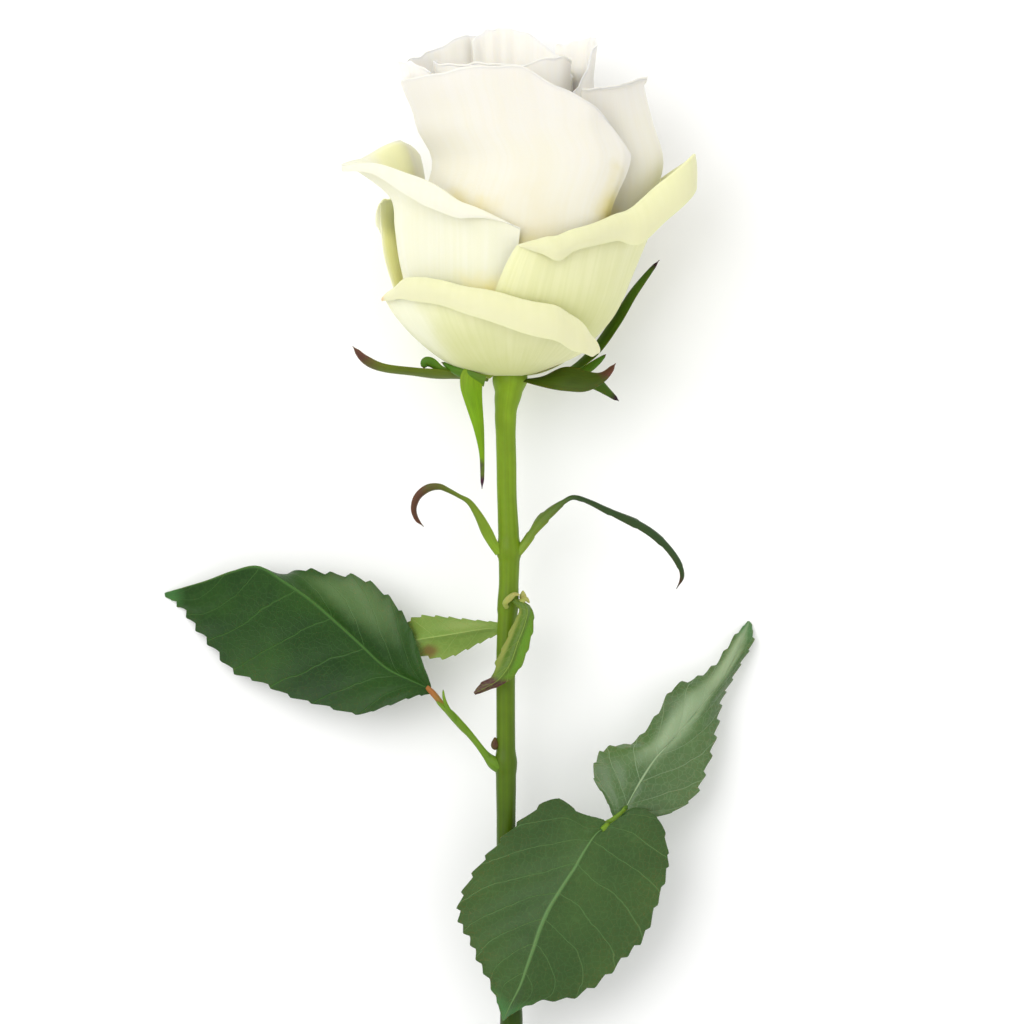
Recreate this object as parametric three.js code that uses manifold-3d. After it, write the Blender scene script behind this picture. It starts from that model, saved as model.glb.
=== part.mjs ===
// A cut rose lying on a surface: a half-open cream-white bloom on a leafy stem.
// Millimetres. +Y runs along the stem to the bloom, +Z is up, and the surface is z = 0.
// While a piece is shaped, x and y are measured from the top of the stem, under the bloom.

import * as THREE from "three";
import { mergeVertices } from "three/addons/utils/BufferGeometryUtils.js";
import Module from "manifold-3d";

const wasm = await Module();
wasm.setup();

// Driving dimensions
const BLADE = 0.62; // thickness of petals, leaves and sepals
const PETAL_SPACING = 1.15; // from one layer of petals to the next
const CLAW_RADIUS = 3.9; // where a petal's foot ends, beside the receptacle
const STEM_TOP_HEIGHT = 21.35; // of the stem's axis under the bloom, above the surface
const STEM_RISE = 0.0834; // of the axis for each millimetre towards the bloom
const BLOOM_AXIS_X = 0.5;
const SEAT_GAP = 0.35; // between pieces that rest on each other

// How far the bud sways to the right at each height, as [height, sway]
const BUD_SWAY = [[0, 0], [20, 0.2], [32, 1.8], [43, 4.2], [51, 1], [60, -0.8], [75, -1]];

// The outermost layer of petals, from the claw up, as [distance from the axis, height]
const LAYER = [
  [CLAW_RADIUS, 0.6], [8.4, 1.3], [13.8, 3.8], [19.4, 9], [22.3, 14.3], [23.2, 20.5],
  [23.2, 28], [22, 36], [20.2, 44], [18.8, 52], [18, 60], [17.6, 70],
];

// Rows of a petal: parts of the way from its claw to its crest
const BODY_ROWS = [0, 0.16, 0.32, 0.48, 0.63, 0.77, 0.9, 1];

const COLOURS = {
  petal: 0xf6f3e2,
  guardPetal: 0xe9eebf,
  stem: 0x6c9c30,
  sepal: 0x6f9836,
  leaf: 0x3d6a33,
  youngLeaf: 0x7d9f45,
};

const radians = (degrees) => (degrees * Math.PI) / 180;
const axisHeight = (y) => STEM_TOP_HEIGHT + STEM_RISE * y;

// A smooth curve through points, which are arrays of one length; s runs from 0 to 1
function spline(points, s) {
  const last = points.length - 1;
  const place = Math.min(Math.max(s, 0), 1) * last;
  const i = Math.min(Math.floor(place), last - 1);
  const f = place - i;
  const [p1, p2] = [points[i], points[i + 1]];
  const p0 = points[i - 1] ?? p1.map((value, k) => 2 * value - p2[k]);
  const p3 = points[i + 2] ?? p2.map((value, k) => 2 * value - p1[k]);
  return p1.map((value, k) => value + 0.5 * f * (p2[k] - p0[k]
    + f * (2 * p0[k] - 5 * value + 4 * p2[k] - p3[k]
    + f * (3 * (value - p2[k]) + p3[k] - p0[k]))));
}

// The value at x in a table of [x, value] pairs with rising x
function lookUp(table, x) {
  const i = Math.max(1, table.findIndex(([start]) => start >= x));
  const [[x0, low], [x1, high]] = [table[i - 1], table[i]];
  const f = THREE.MathUtils.smoothstep(x, x0, x1);
  return low + (high - low) * f;
}

// A closed thin sheet round a grid of points, with both faces split into triangles alike
function sheet(grid, thickness = BLADE) {
  const rows = grid.length;
  const columns = grid[0].length;
  const near = (i, j) => grid[Math.min(Math.max(i, 0), rows - 1)][Math.min(Math.max(j, 0), columns - 1)];
  const position = [];
  for (const side of [0.5, -0.5]) {
    grid.forEach((row, i) => row.forEach((point, j) => {
      const across = near(i, j + 1).clone().sub(near(i, j - 1));
      const along = near(i + 1, j).clone().sub(near(i - 1, j));
      const normal = across.cross(along).normalize();
      if (point.z <= thickness / 2) normal.set(0, 0, Math.sign(normal.z)); // flat where it rests on the surface
      const place = point.clone().addScaledVector(normal, side * thickness);
      position.push(place.x, place.y, Math.max(place.z, 0));
    }));
  }
  const at = (i, j) => i * columns + j;
  const under = rows * columns;
  const index = [];
  for (let i = 0; i < rows - 1; i += 1) {
    for (let j = 0; j < columns - 1; j += 1) {
      const [a, b, c, d] = [at(i, j), at(i, j + 1), at(i + 1, j + 1), at(i + 1, j)];
      index.push(a, b, c, a, c, d, a + under, c + under, b + under, a + under, d + under, c + under);
    }
  }
  const border = [];
  for (let j = 0; j < columns - 1; j += 1) border.push(at(0, j));
  for (let i = 0; i < rows - 1; i += 1) border.push(at(i, columns - 1));
  for (let j = columns - 1; j > 0; j -= 1) border.push(at(rows - 1, j));
  for (let i = rows - 1; i > 0; i -= 1) border.push(at(i, 0));
  border.forEach((p, k) => {
    const q = border[(k + 1) % border.length];
    index.push(q, p, p + under, q, p + under, q + under);
  });
  const geometry = new THREE.BufferGeometry();
  geometry.setAttribute("position", new THREE.Float32BufferAttribute(position, 3));
  geometry.setIndex(index);
  return geometry;
}

function toSolid(geometry) {
  const bare = geometry.clone();
  bare.deleteAttribute("normal");
  bare.deleteAttribute("uv");
  const merged = mergeVertices(bare, 1e-4);
  return new wasm.Manifold(new wasm.Mesh({
    numProp: 3,
    vertProperties: new Float32Array(merged.attributes.position.array),
    triVerts: new Uint32Array(merged.index.array),
  }));
}

function toGeometry(solid) {
  const mesh = solid.getMesh();
  const geometry = new THREE.BufferGeometry();
  geometry.setAttribute("position", new THREE.Float32BufferAttribute(mesh.vertProperties, 3));
  geometry.setIndex([...mesh.triVerts]);
  return geometry;
}

// One body from several geometries that run into each other
function fuse(...geometries) {
  return toGeometry(geometries.map(toSolid).reduce((whole, next) => whole.add(next)));
}

// Petals

// A point of the layer that lies `depth` inside the outermost one, with s from claw to top
function layerPoint(depth, s) {
  const step = 0.01;
  const [r, h] = spline(LAYER, s);
  const [r0, h0] = spline(LAYER, s - step);
  const [r1, h1] = spline(LAYER, s + step);
  const length = Math.hypot(r1 - r0, h1 - h0);
  const inward = depth * Math.min(1, 0.25 + s * 6);
  return [r - (inward * (h1 - h0)) / length, h + (depth * (r1 - r0)) / length];
}

function layerPlace(depth, height) {
  let [low, high] = [0, 1];
  for (let i = 0; i < 30; i += 1) {
    const middle = (low + high) / 2;
    if (layerPoint(depth, middle)[1] < height) low = middle;
    else high = middle;
  }
  return low;
}

// A petal's rim is a list of stations from one side to the other:
// [angle round the bloom, crest's distance from the axis, crest's height,
//  how far the lip goes out past the crest, how far up or down, bulge of the upper body]
function petalGrid({ layer, rim, claw = 0.85, belly = 1, reflex = 3, sway = 0, columns = 11 }) {
  const depth = layer * PETAL_SPACING;
  const middle = (rim[0][0] + rim[rim.length - 1][0]) / 2;
  const stations = rim.map((station) => [...station, 0].slice(0, 6));
  const place = (angle, r, h) => new THREE.Vector3(
    BLOOM_AXIS_X + sway * lookUp(BUD_SWAY, h) + r * Math.sin(radians(angle)),
    h,
    Math.max(axisHeight(h) + r * Math.cos(radians(angle)), BLADE / 2),
  );
  const paths = [];
  for (let j = 0; j < columns; j += 1) {
    const [angle, crest, top, out, up, bulge] = spline(stations, j / (columns - 1));
    const end = layerPlace(depth, top);
    const flare = crest - layerPoint(depth, end)[0];
    const path = BODY_ROWS.map((t) => {
      const [r, h] = layerPoint(depth, end * t);
      const share = claw + (1 - claw) * t + (belly - 1) * Math.sin(Math.PI * t);
      const swell = flare * t ** reflex + bulge * Math.sin(Math.PI * t ** 3) ** 2;
      return place(middle + (angle - middle) * share, r + swell, h);
    });
    path.push(place(angle, crest + 0.62 * out, top + 0.35 * up), place(angle, crest + out, top + up));
    paths.push(path);
  }
  return paths[0].map((_, i) => paths.map((path) => path[i]));
}

const PETALS = {
  petal_front_guard: {
    layer: 0,
    rim: [
      [-88, 24.9, 15.8, 0.7, -0.6], [-69, 24.5, 17.9, 1, -2.6], [-51, 24.5, 19.8, 1.2, -4.6],
      [-28, 24.7, 18.4, 1.4, -4.8], [-5, 24.8, 16.4, 1.5, -6.2], [18, 24.6, 14, 1.4, -6.9],
      [31, 24, 12, 1.2, -7], [43, 22.9, 8.8, 0.9, -4.6], [51, 21.9, 6.4, 0.7, -1.6],
    ],
  },
  petal_right_guard: {
    layer: 1.2,
    reflex: 4.5,
    belly: 1.12,
    rim: [
      [4, 23.6, 26.2, 0.3, -0.4], [13, 24.2, 27, 1.2, -2.6], [21, 24.4, 27.8, 1.8, -4.8],
      [32, 24.6, 29, 1.6, -4], [49, 25.8, 31.4, 1.6, -4.8], [60, 28, 33.8, 1.8, -7.4],
      [70, 32, 38.8, 1.6, -7.4], [81, 37, 44.2, 0.6, -6.8, 1], [94, 33.5, 42, 0.6, -2],
      [108, 26.6, 36, 0.4, -0.4],
    ],
  },
  petal_left_guard: {
    layer: 2.5,
    reflex: 14,
    rim: [
      [-129, 24.4, 45.4, 0.2, 0.4, 3], [-120, 24.4, 47, 0.2, 0.4, 2], [-108, 24.4, 47.2, 0.3, 0.2, 2],
      [-96, 27.4, 45, 0.4, -0.4, 2.2], [-83, 33.4, 42.6, 0.3, -1.2, 2.2], [-67, 29, 42.2, 0.8, -2, 2.2],
      [-48, 25.6, 39.6, 1.2, -4.2], [-38, 24.6, 37.8, 1.2, -4.6], [-25, 23.6, 34.8, 1, -3.2],
      [-10, 22.7, 32.2, 0.5, -0.9], [5, 22.3, 29.2, 0.1, 0.3],
    ],
  },
  petal_left_back_guard: {
    layer: 1.5,
    reflex: 3,
    rim: [
      [-205, 22.2, 33, 0.3, 0.4], [-180, 21.6, 35.5, 0.4, 0.3], [-150, 23, 36.5, 0.7, -0.6],
      [-120, 25.4, 36.4, 1.1, -5.2], [-99, 26, 35.8, 1.2, -7.4, 0.9], [-90, 24.8, 34.8, 1.2, -4, 0.8],
    ],
  },
  petal_back_guard: {
    layer: 0,
    rim: [
      [118, 22.4, 14.2, 0.4, 0.3], [132, 23.9, 19.6, 0.8, 0.4], [156, 23.9, 23, 0.5, 0.7],
      [185, 23.9, 24.6, 0.1, 0.8], [215, 24, 22.6, 0.5, 0.7], [240, 24.3, 18.6, 0.8, 0.4],
      [260, 23, 13.4, 0.4, 0.3],
    ],
  },
  petal_right_back_guard: {
    layer: 2.8,
    reflex: 9,
    rim: [
      [143, 20.4, 29, 0.3, 0.2], [152, 20.4, 34, 0.4, -0.2], [166, 20.6, 38.6, 0.5, -0.6],
      [186, 20.4, 37.4, 0.5, -0.4], [205, 20.4, 32, 0.3, 0.2],
    ],
  },
  petal_right: {
    layer: 3,
    reflex: 5,
    claw: 0.35,
    belly: 0.85,
    rim: [
      [44, 23.4, 56.4, 0.1, 0.5, 7.6], [55, 23.8, 57, 0.1, 0.5, 8], [66, 24.8, 57.8, 0.1, 0.5, 8.6],
      [78, 26.2, 58.8, 0.1, 0.6, 9], [89, 27.2, 59.4, 0.2, 0.6, 9.4], [97, 26.8, 58.8, 0.3, 0.4, 8.6],
      [108, 25.6, 57.4, 0.3, 0.4, 6], [121, 23.8, 56.4, 0.3, 0.4, 3.4], [136, 21.6, 55.4, 0.3, 0.4, 1.2],
    ],
  },
  petal_back_middle: {
    layer: 3.9,
    rim: [
      [166, 17, 43.8, 0.2, 0.5], [184, 17, 46.8, 0.3, 0.6], [205, 16.8, 47, 0.3, 0.6],
      [222, 16.4, 45, 0.2, 0.5], [234, 15.8, 41.8, 0.1, 0.4],
    ],
  },
  petal_bud_front: {
    layer: 4.1,
    sway: 1,
    rim: [
      [-100, 20.4, 56.6, 0.3, 0.4], [-82, 21, 58.4, 0.4, 0.5], [-55, 20, 59, 0.4, 0.5],
      [-30, 19.2, 60.4, 0.3, 0.6], [-11, 19, 61.2, 0.3, 0.5], [9, 18.8, 60.8, 0.3, 0.5],
      [31, 19.2, 56.8, 0.5, 0.2], [48, 21.2, 53.6, 0.6, 0], [62, 21.4, 49.8, 0.8, -0.2],
      [74, 20, 45.6, 0.6, -0.6],
    ],
  },
  petal_bud_left: {
    layer: 5.4,
    sway: 1,
    rim: [
      [-60, 17.8, 60, 0.2, 0.5], [-76, 19.6, 62.4, 0.4, 0.6], [-92, 21.2, 62.8, 0.5, 0.4],
      [-110, 19.8, 63.3, 0.4, 0.5], [-130, 18.4, 65.6, 0.4, 0.5], [-148, 17.4, 68.2, 0.4, 0.5],
      [-163, 16.8, 68.4, 0.3, 0.4],
    ].reverse(),
  },
  petal_bud_right: {
    layer: 5.2,
    sway: 1,
    rim: [
      [44, 17, 54.6, 0.3, 0.4], [60, 17.8, 59.6, 0.4, 0.3], [78, 17.8, 65, 0.4, 0.3],
      [97, 18.3, 67.6, 0.4, 0.4], [112, 17.4, 67.8, 0.4, 0.4], [128, 16.9, 67, 0.3, 0.4],
      [143, 16.7, 66, 0.3, 0.4],
    ],
  },
  petal_bud_back: {
    layer: 6.6,
    sway: 1,
    rim: [
      [112, 13.8, 60, 0.2, 0.4], [130, 14.6, 63, 0.3, 0.4], [146, 15.6, 66.2, 0.3, 0.4],
      [160, 16.2, 68.6, 0.3, 0.4], [175, 16.4, 69.8, 0.3, 0.4], [188, 16.2, 69.8, 0.3, 0.4],
      [198, 15.6, 69, 0.3, 0.4], [207, 15, 67.4, 0.2, 0.4],
    ],
  },
};

const GUARDS = new Set([
  "petal_front_guard", "petal_right_guard", "petal_left_guard",
  "petal_left_back_guard", "petal_back_guard", "petal_right_back_guard",
]);

// The heart: small petals wound round a solid core, on top of the receptacle
const RECEPTACLE_TOP = 8;
const HEART_PETALS = 6;
const HEART_TURN = 137.5; // degrees from one small petal to the next

function heartCore() {
  const outline = [[0, 0], [3, 0], [9.4, 3], [13.4, 9], [14.2, 15], [12.6, 26], [10.4, 38], [7, 46], [0, 50]];
  const core = new THREE.LatheGeometry(outline.map(([r, h]) => new THREE.Vector2(r, h)), 14);
  const position = core.attributes.position;
  for (let i = 0; i < position.count; i += 1) {
    const [x, h, z] = [position.getX(i), position.getY(i) + RECEPTACLE_TOP + SEAT_GAP, position.getZ(i)];
    position.setXYZ(i, x + BLOOM_AXIS_X + lookUp(BUD_SWAY, h), h, z + axisHeight(h));
  }
  return core;
}

function heartPetal(number) {
  const middle = -75 + number * HEART_TURN;
  const crest = 13.6 - 1.7 * number;
  const top = [62.4, 63, 61.8, 62, 60.6, 60][number];
  const rim = [[-72, -1.4, -6], [-40, 0.2, -1.2], [-12, 0.9, 0.2], [18, 0.4, -0.4], [48, 0, -1.6], [74, -1.2, -6]]
    .map(([angle, r, h]) => [middle + angle, crest + r, top + h, 0.5, 0.4]);
  return sheet(petalGrid({ layer: 7.9 + 1.2 * number, sway: 1, claw: 0.6, columns: 8, rim }).slice(3), 0.9);
}

function heartGeometry() {
  const petals = Array.from({ length: HEART_PETALS }, (_, number) => heartPetal(number));
  return fuse(heartCore(), ...petals);
}

// Stem

// Half of the stem's thickness along it, as [y, radius], from the cut end up
const STEM_PROFILE = [
  [-229.4, 2.2], [-206, 2.2], [-201, 2.7], [-197, 2.2], [-164, 2.15], [-159, 2.7], [-155, 2.15],
  [-129, 2.3], [-124, 2.1], [-108, 2.05], [-104, 2.6], [-100, 2], [-88, 1.9], [-80, 2],
  [-77, 2.25], [-74, 1.9], [-62, 1.9], [-48, 1.95], [-45, 2.15], [-41, 2], [-37, 2.1],
  [-34.4, 2.55], [-31.5, 2.1], [-24, 1.95], [-12, 2], [-7, 2.2], [-3.2, 2.75], [-0.6, 3.5], [0, 3.5],
];
// Where the stem's middle wanders to, left or right, as [y, x]
const STEM_WANDER = [
  [-230, 1.6], [-128, 0.7], [-90, -0.4], [-60, -0.5], [-36, 0.2], [-20, -0.3], [-8, -0.5], [0, 0.4], [20, 0.5],
];

function stemGeometry() {
  const outline = [[0, STEM_PROFILE[0][0]], ...STEM_PROFILE.map(([y, r]) => [r, y])];
  outline.push([3.4, 2], [3, RECEPTACLE_TOP], [0, RECEPTACLE_TOP]);
  const stem = new THREE.LatheGeometry(outline.map(([r, y]) => new THREE.Vector2(r, y)), 12);
  const position = stem.attributes.position;
  for (let i = 0; i < position.count; i += 1) {
    const y = position.getY(i);
    const slant = y < -229 ? 0.5 * position.getX(i) : 0; // the end is cut at a slant
    position.setXYZ(i, position.getX(i) + lookUp(STEM_WANDER, y), y + slant, position.getZ(i) + axisHeight(y));
  }
  return stem;
}

// Leaves, sepals and bracts

// Stations run from a blade's foot to its tip, each [left margin, midrib, right margin].
// Teeth push every second row of the margin out and on towards the tip.
function bladeGrid({ stations, rows, camber = 0, tooth = 0, half = 3 }) {
  const flat = stations.map((station) => station.flat());
  const grid = [];
  for (let i = 0; i < rows; i += 1) {
    const s = i / (rows - 1);
    const row = spline(flat, s);
    const [left, middle, right] = [0, 3, 6].map((k) => new THREE.Vector3(...row.slice(k, k + 3)));
    const ahead = spline(flat, Math.min(1, s + 0.02)).slice(3, 6);
    const behind = spline(flat, Math.max(0, s - 0.02)).slice(3, 6);
    const along = new THREE.Vector3(...ahead).sub(new THREE.Vector3(...behind)).normalize();
    const normal = right.clone().sub(left).cross(along).normalize();
    const inside = i > 1 && i < rows - 2;
    const reach = inside ? (i % 2 ? tooth : -0.35 * tooth) : 0;
    const points = [];
    for (let j = -half; j <= half; j += 1) {
      const margin = j < 0 ? left : right;
      const f = Math.abs(j) / half;
      const point = middle.clone().lerp(margin, f);
      point.addScaledVector(normal, 4 * camber * f * (1 - f) * Math.min(1, margin.distanceTo(middle) / 8));
      if (Math.abs(j) === half) {
        point.addScaledVector(margin.clone().sub(middle).normalize(), reach);
        point.addScaledVector(along, reach > 0 ? reach : 0);
      }
      points.push(point);
    }
    grid.push(points);
  }
  return grid;
}

// A stalk with a round section along a path, a little thinner than the blade that it runs into
function stalk(points, radius) {
  const path = new THREE.CatmullRomCurve3(points.map((point) => new THREE.Vector3(...point)));
  const section = new THREE.Shape().absarc(0, 0, radius, 0, 2 * Math.PI);
  return new THREE.ExtrudeGeometry(section, {
    extrudePath: path, steps: 4 * points.length, curveSegments: 4, bevelEnabled: false,
  });
}

const LEFT_LEAFLET = [
  [[-15.5, -61.4, 13], [-15.4, -62.4, 13.4], [-15.6, -63.3, 13]],
  [[-17.6, -55.2, 12.4], [-19.6, -60.6, 14.2], [-19, -63.9, 13.6]],
  [[-19.8, -49.6, 11.8], [-24.6, -58, 14.4], [-24.4, -65.8, 13.4]],
  [[-23.6, -44.4, 10.8], [-29.6, -53.4, 14], [-29.8, -67.4, 12.4]],
  [[-29.2, -40.4, 9.8], [-34.6, -48.8, 13.2], [-36.6, -65.8, 10.8]],
  [[-35.6, -39.4, 8.6], [-39.6, -44.4, 12], [-43.2, -64, 8.8]],
  [[-41.6, -38.6, 7.6], [-44.8, -40.8, 10.4], [-49.2, -61.2, 6.6]],
  [[-47.6, -41, 4.4], [-50, -37.8, 8.6], [-54.8, -59, 4.4]],
  [[-53.4, -42.6, 2], [-55.2, -38.8, 6.4], [-59.2, -54, 2.8]],
  [[-59.2, -43.8, 1.3], [-60.6, -40.8, 4.2], [-63, -49.6, 1.8]],
  [[-64.6, -44.2, 0.9], [-65.2, -42.2, 2.2], [-65.8, -45.8, 1]],
  [[-68.8, -43.3, 0.4], [-69.1, -43.3, 0.5], [-69.2, -43.9, 0.4]],
];

const UPPER_RIGHT_LEAFLET = [
  [[21.2, -88, 14.6], [21.8, -88.8, 14.8], [22.6, -89.2, 14.8]],
  [[19.2, -83.8, 14.4], [23.2, -86.8, 15.2], [27.4, -88.4, 14]],
  [[17.2, -80.4, 13.4], [24.8, -83.8, 14.8], [32.8, -87.2, 12.4]],
  [[18, -76, 12.4], [27, -80, 14.2], [37.2, -84, 10.8]],
  [[20.8, -74, 11.4], [29.6, -76.2, 13.2], [39.2, -79.6, 9.4]],
  [[25.2, -73.2, 10.4], [32.6, -73, 12.2], [41, -74, 8.2]],
  [[29.4, -68.4, 9.4], [36, -69.2, 11], [42, -69.2, 7.2]],
  [[33.2, -62.4, 8.2], [39.2, -65.4, 9.6], [42.8, -64.8, 6.4]],
  [[38, -60.4, 6.4], [42.2, -61.6, 7.8], [44.6, -61.2, 5.4]],
  [[42, -57.4, 4.6], [44.6, -58, 5.6], [47, -57, 4]],
  [[45.4, -52.4, 2.6], [47, -53.4, 3.2], [49.2, -53.2, 2.4]],
  [[48.4, -48.8, 0.4], [48.8, -48.8, 0.5], [49.2, -49.6, 0.4]],
];

const LOWER_RIGHT_LEAFLET = [
  [[19.2, -88.4, 16.6], [20.2, -89.6, 16.8], [21.2, -88.8, 16.6]],
  [[14.4, -86.8, 17.6], [17.6, -91.4, 18], [25.6, -85.8, 17]],
  [[9.6, -84, 18.6], [15.4, -94.4, 19], [30.4, -88.4, 17]],
  [[2.8, -88.4, 19.4], [13, -98.4, 19.8], [32, -94.4, 16.4]],
  [[-2.2, -93.4, 19.2], [10.4, -102.4, 20.4], [31.8, -98.8, 16]],
  [[-6.6, -98.8, 18.4], [8.2, -106, 20.6], [29.8, -105, 15.8]],
  [[-9.4, -104.4, 17.6], [6.4, -110, 20.6], [27.2, -111.6, 15.8]],
  [[-9.4, -108.8, 17.4], [5.2, -113.6, 20.4], [23.4, -115.6, 16]],
  [[-7.4, -112.4, 17.4], [3.8, -117.6, 20], [18.4, -120.6, 16.2]],
  [[-5.6, -116.8, 17.4], [2.4, -121.6, 19.2], [12.4, -124, 16.6]],
  [[-3.2, -121.4, 17.2], [0.6, -125.2, 18.2], [5.6, -124.8, 17]],
  [[-1.4, -127.4, 16.8], [-1, -128.6, 16.8], [0.4, -127.6, 16.8]],
];

function leftLeafGeometry() {
  const petiole = stalk([[-3.5, -76.6, 15.3], [-6.4, -73, 15], [-10.6, -68.6, 14.4], [-13.4, -65.2, 13.8],
    [-16, -62, 13.4]], 0.75);
  const wing = sheet(bladeGrid({
    rows: 9,
    half: 1,
    stations: [
      [[-3.8, -73.8, 15.4], [-4.2, -75.2, 15.2], [-4.6, -76.2, 15.4]],
      [[-5.6, -71.6, 15.4], [-6.4, -73, 15], [-7.4, -74, 15.4]],
      [[-8.2, -68.4, 15.2], [-9.2, -70, 14.8], [-10.2, -71, 15.2]],
      [[-10.4, -66, 15.2], [-11.4, -67.8, 14.2], [-12.4, -68.4, 15]],
      [[-12.4, -63, 15.4], [-12.8, -64.6, 14.4], [-13.6, -65.6, 14.6]],
    ],
  }), 0.7);
  const blade = sheet(bladeGrid({ stations: LEFT_LEAFLET, rows: 34, camber: 0.7, tooth: 0.55 }));
  return fuse(petiole, wing, blade);
}

function rightLeafGeometry() {
  const rachis = stalk([[3.6, -102.8, 12.8], [7, -99.6, 12.6], [13, -94.4, 12.8], [18.4, -90.2, 13.8],
    [21.4, -88.4, 14.8], [24, -85.6, 15]], 0.8);
  const petiolule = stalk([[17.4, -91, 13.4], [18.8, -90.4, 15], [19.8, -89.6, 16.6], [18.6, -90.6, 17.6]], 0.7);
  const upper = sheet(bladeGrid({ stations: UPPER_RIGHT_LEAFLET, rows: 32, camber: 0.7, tooth: 0.5 }));
  const lower = sheet(bladeGrid({ stations: LOWER_RIGHT_LEAFLET, rows: 34, camber: 0.7, tooth: 0.6 }));
  return fuse(rachis, petiolule, upper, lower);
}

function smallBackLeafGeometry() {
  return sheet(bladeGrid({
    rows: 18,
    half: 2,
    tooth: 0.4,
    camber: 0.4,
    stations: [
      [[-2.8, -51, 16.8], [-2.8, -51.6, 16.8], [-2.8, -52.2, 16.8]],
      [[-5.2, -48.8, 15.6], [-5, -50.4, 16], [-4.8, -53.2, 15.4]],
      [[-9.4, -48.2, 14.4], [-8.6, -50.8, 15.2], [-8.4, -54.4, 14]],
      [[-13.4, -47.8, 13.4], [-12.2, -51.4, 14.4], [-12.2, -56, 12.8]],
      [[-17.6, -47.8, 11.6], [-16, -52, 12.6], [-16, -55.8, 11]],
      [[-20.4, -49.2, 9.4], [-19.4, -52.6, 9.8], [-19.4, -55, 9]],
      [[-22.2, -52.6, 7.2], [-22, -53, 7.2], [-22, -53.6, 7.2]],
    ],
  }));
}

function smallFrontLeafGeometry() {
  return sheet(bladeGrid({
    rows: 16,
    half: 2,
    tooth: 0.3,
    stations: [
      [[0.6, -44.6, 20.4], [1.4, -44.4, 20.4], [2.4, -44.2, 20.2]],
      [[2.2, -46.4, 21.6], [3.6, -46, 21.2], [4.8, -46.2, 20.4]],
      [[0.9, -49.4, 22.4], [3.2, -49.2, 21.8], [5.1, -49.4, 20.8]],
      [[-0.6, -53, 22.6], [1.8, -53, 22.2], [4.3, -53, 21.4]],
      [[-2.2, -56.4, 22.4], [0.4, -57, 22.2], [2.9, -57, 21.6]],
      [[-3, -59.4, 21.8], [-1.8, -60, 21.8], [0.6, -60.2, 21.4]],
      [[-4.8, -61.6, 21], [-4.4, -61.9, 21], [-3.8, -62.2, 20.8]],
      [[-6.4, -62.9, 20.4], [-6.3, -63.1, 20.4], [-6.1, -63.4, 20.4]],
    ],
  }));
}

// A narrow blade along a path: at each point [x, y, z, half width, turn], where a turn of 0
// lies flat to a viewer above and 90 stands on its edge
function ribbon(path, rows, thickness = BLADE) {
  const grid = [];
  for (let i = 0; i < rows; i += 1) {
    const s = i / (rows - 1);
    const [x, y, z, width, turn] = spline(path, s);
    const ahead = new THREE.Vector3(...spline(path, Math.min(1, s + 0.03)));
    const behind = new THREE.Vector3(...spline(path, Math.max(0, s - 0.03)));
    const along = ahead.sub(behind).normalize();
    const level = new THREE.Vector3(along.y, -along.x, 0).normalize();
    const raised = level.clone().cross(along).normalize();
    const side = level.multiplyScalar(Math.cos(radians(turn))).addScaledVector(raised, Math.sin(radians(turn)));
    grid.push([-1, 0, 1].map((k) => new THREE.Vector3(x, y, z).addScaledVector(side, k * width)));
  }
  return sheet(grid, thickness);
}

const SEPALS = {
  sepal_left: [
    [-4.1, -0.4, 21.4, 1.4, 90], [-9, 0.2, 22.2, 2.2, 78], [-14, 0.6, 23, 2.2, 66], [-19, 1.1, 23.6, 1.9, 66],
    [-25, 1.9, 24, 1.6, 60], [-28.6, 3.6, 24.2, 1.1, 40], [-31, 6.3, 24.4, 0.3, 30],
  ],
  sepal_hanging: [
    [-2.5, -0.7, 25, 1.3, 80], [-4.9, -0.9, 26.2, 1.9, 50], [-7.3, -2, 27.2, 2.1, 10],
    [-6.7, -4.6, 27.4, 1.7, 8], [-6.2, -7.4, 27.4, 1.4, 10], [-5.7, -10.6, 27.4, 1, 15],
    [-5.2, -15, 27, 0.55, 20], [-5.1, -19.4, 26.4, 0.4, 20], [-5.2, -22.2, 25.8, 0.3, 20],
  ],
  sepal_right: [
    [3.8, -0.5, 23.6, 1.6, 86], [7.4, -0.4, 25.4, 2.2, 55], [11.6, -0.2, 26.8, 2.6, 20], [15.4, -0.7, 27.8, 2.2, 20],
    [18.8, 0.2, 28.2, 1.3, 40], [21.5, 2.8, 28, 0.4, 40],
  ],
  sepal_low_right: [
    [4.5, -0.5, 20.4, 1.2, 88], [9, 0, 19.2, 1.9, 80], [13.6, 0.6, 18.6, 1.9, 50], [17.4, -0.9, 18.4, 1.4, 20],
    [20, -2.8, 18.2, 0.8, 20], [22.2, -4.6, 18, 0.3, 20],
  ],
  sepal_upper_right: [
    [2.6, -0.5, 17.5, 1.2, 90], [6.6, -0.2, 13.8, 2, 88], [11.4, 1.2, 11.2, 2.1, 80], [16.9, 5.2, 11, 2.2, 60],
    [21.2, 11.6, 12.8, 2, 45], [25.6, 17.2, 16.4, 1.6, 30], [28.6, 21.2, 18, 1, 30], [30.4, 23.6, 18.8, 0.3, 20],
  ],
};

// Leafy lobes at the side of a sepal, grown into it
const LOBES = {
  sepal_left: [
    [-11.8, 1, 23.4, 0.8, 50], [-13.6, 1.8, 23.9, 0.8, 30], [-15.3, 3, 24.2, 1, 20], [-16.5, 3.1, 24.2, 0.9, 10],
    [-16.8, 1.9, 24.1, 0.5, 10],
  ],
  sepal_low_right: [
    [13.4, 0.4, 18.9, 0.8, 20], [15.4, 1.5, 19.6, 0.9, 20], [17.4, 3, 20.2, 0.7, 20], [19.2, 4.4, 20.6, 0.3, 20],
  ],
};

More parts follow.
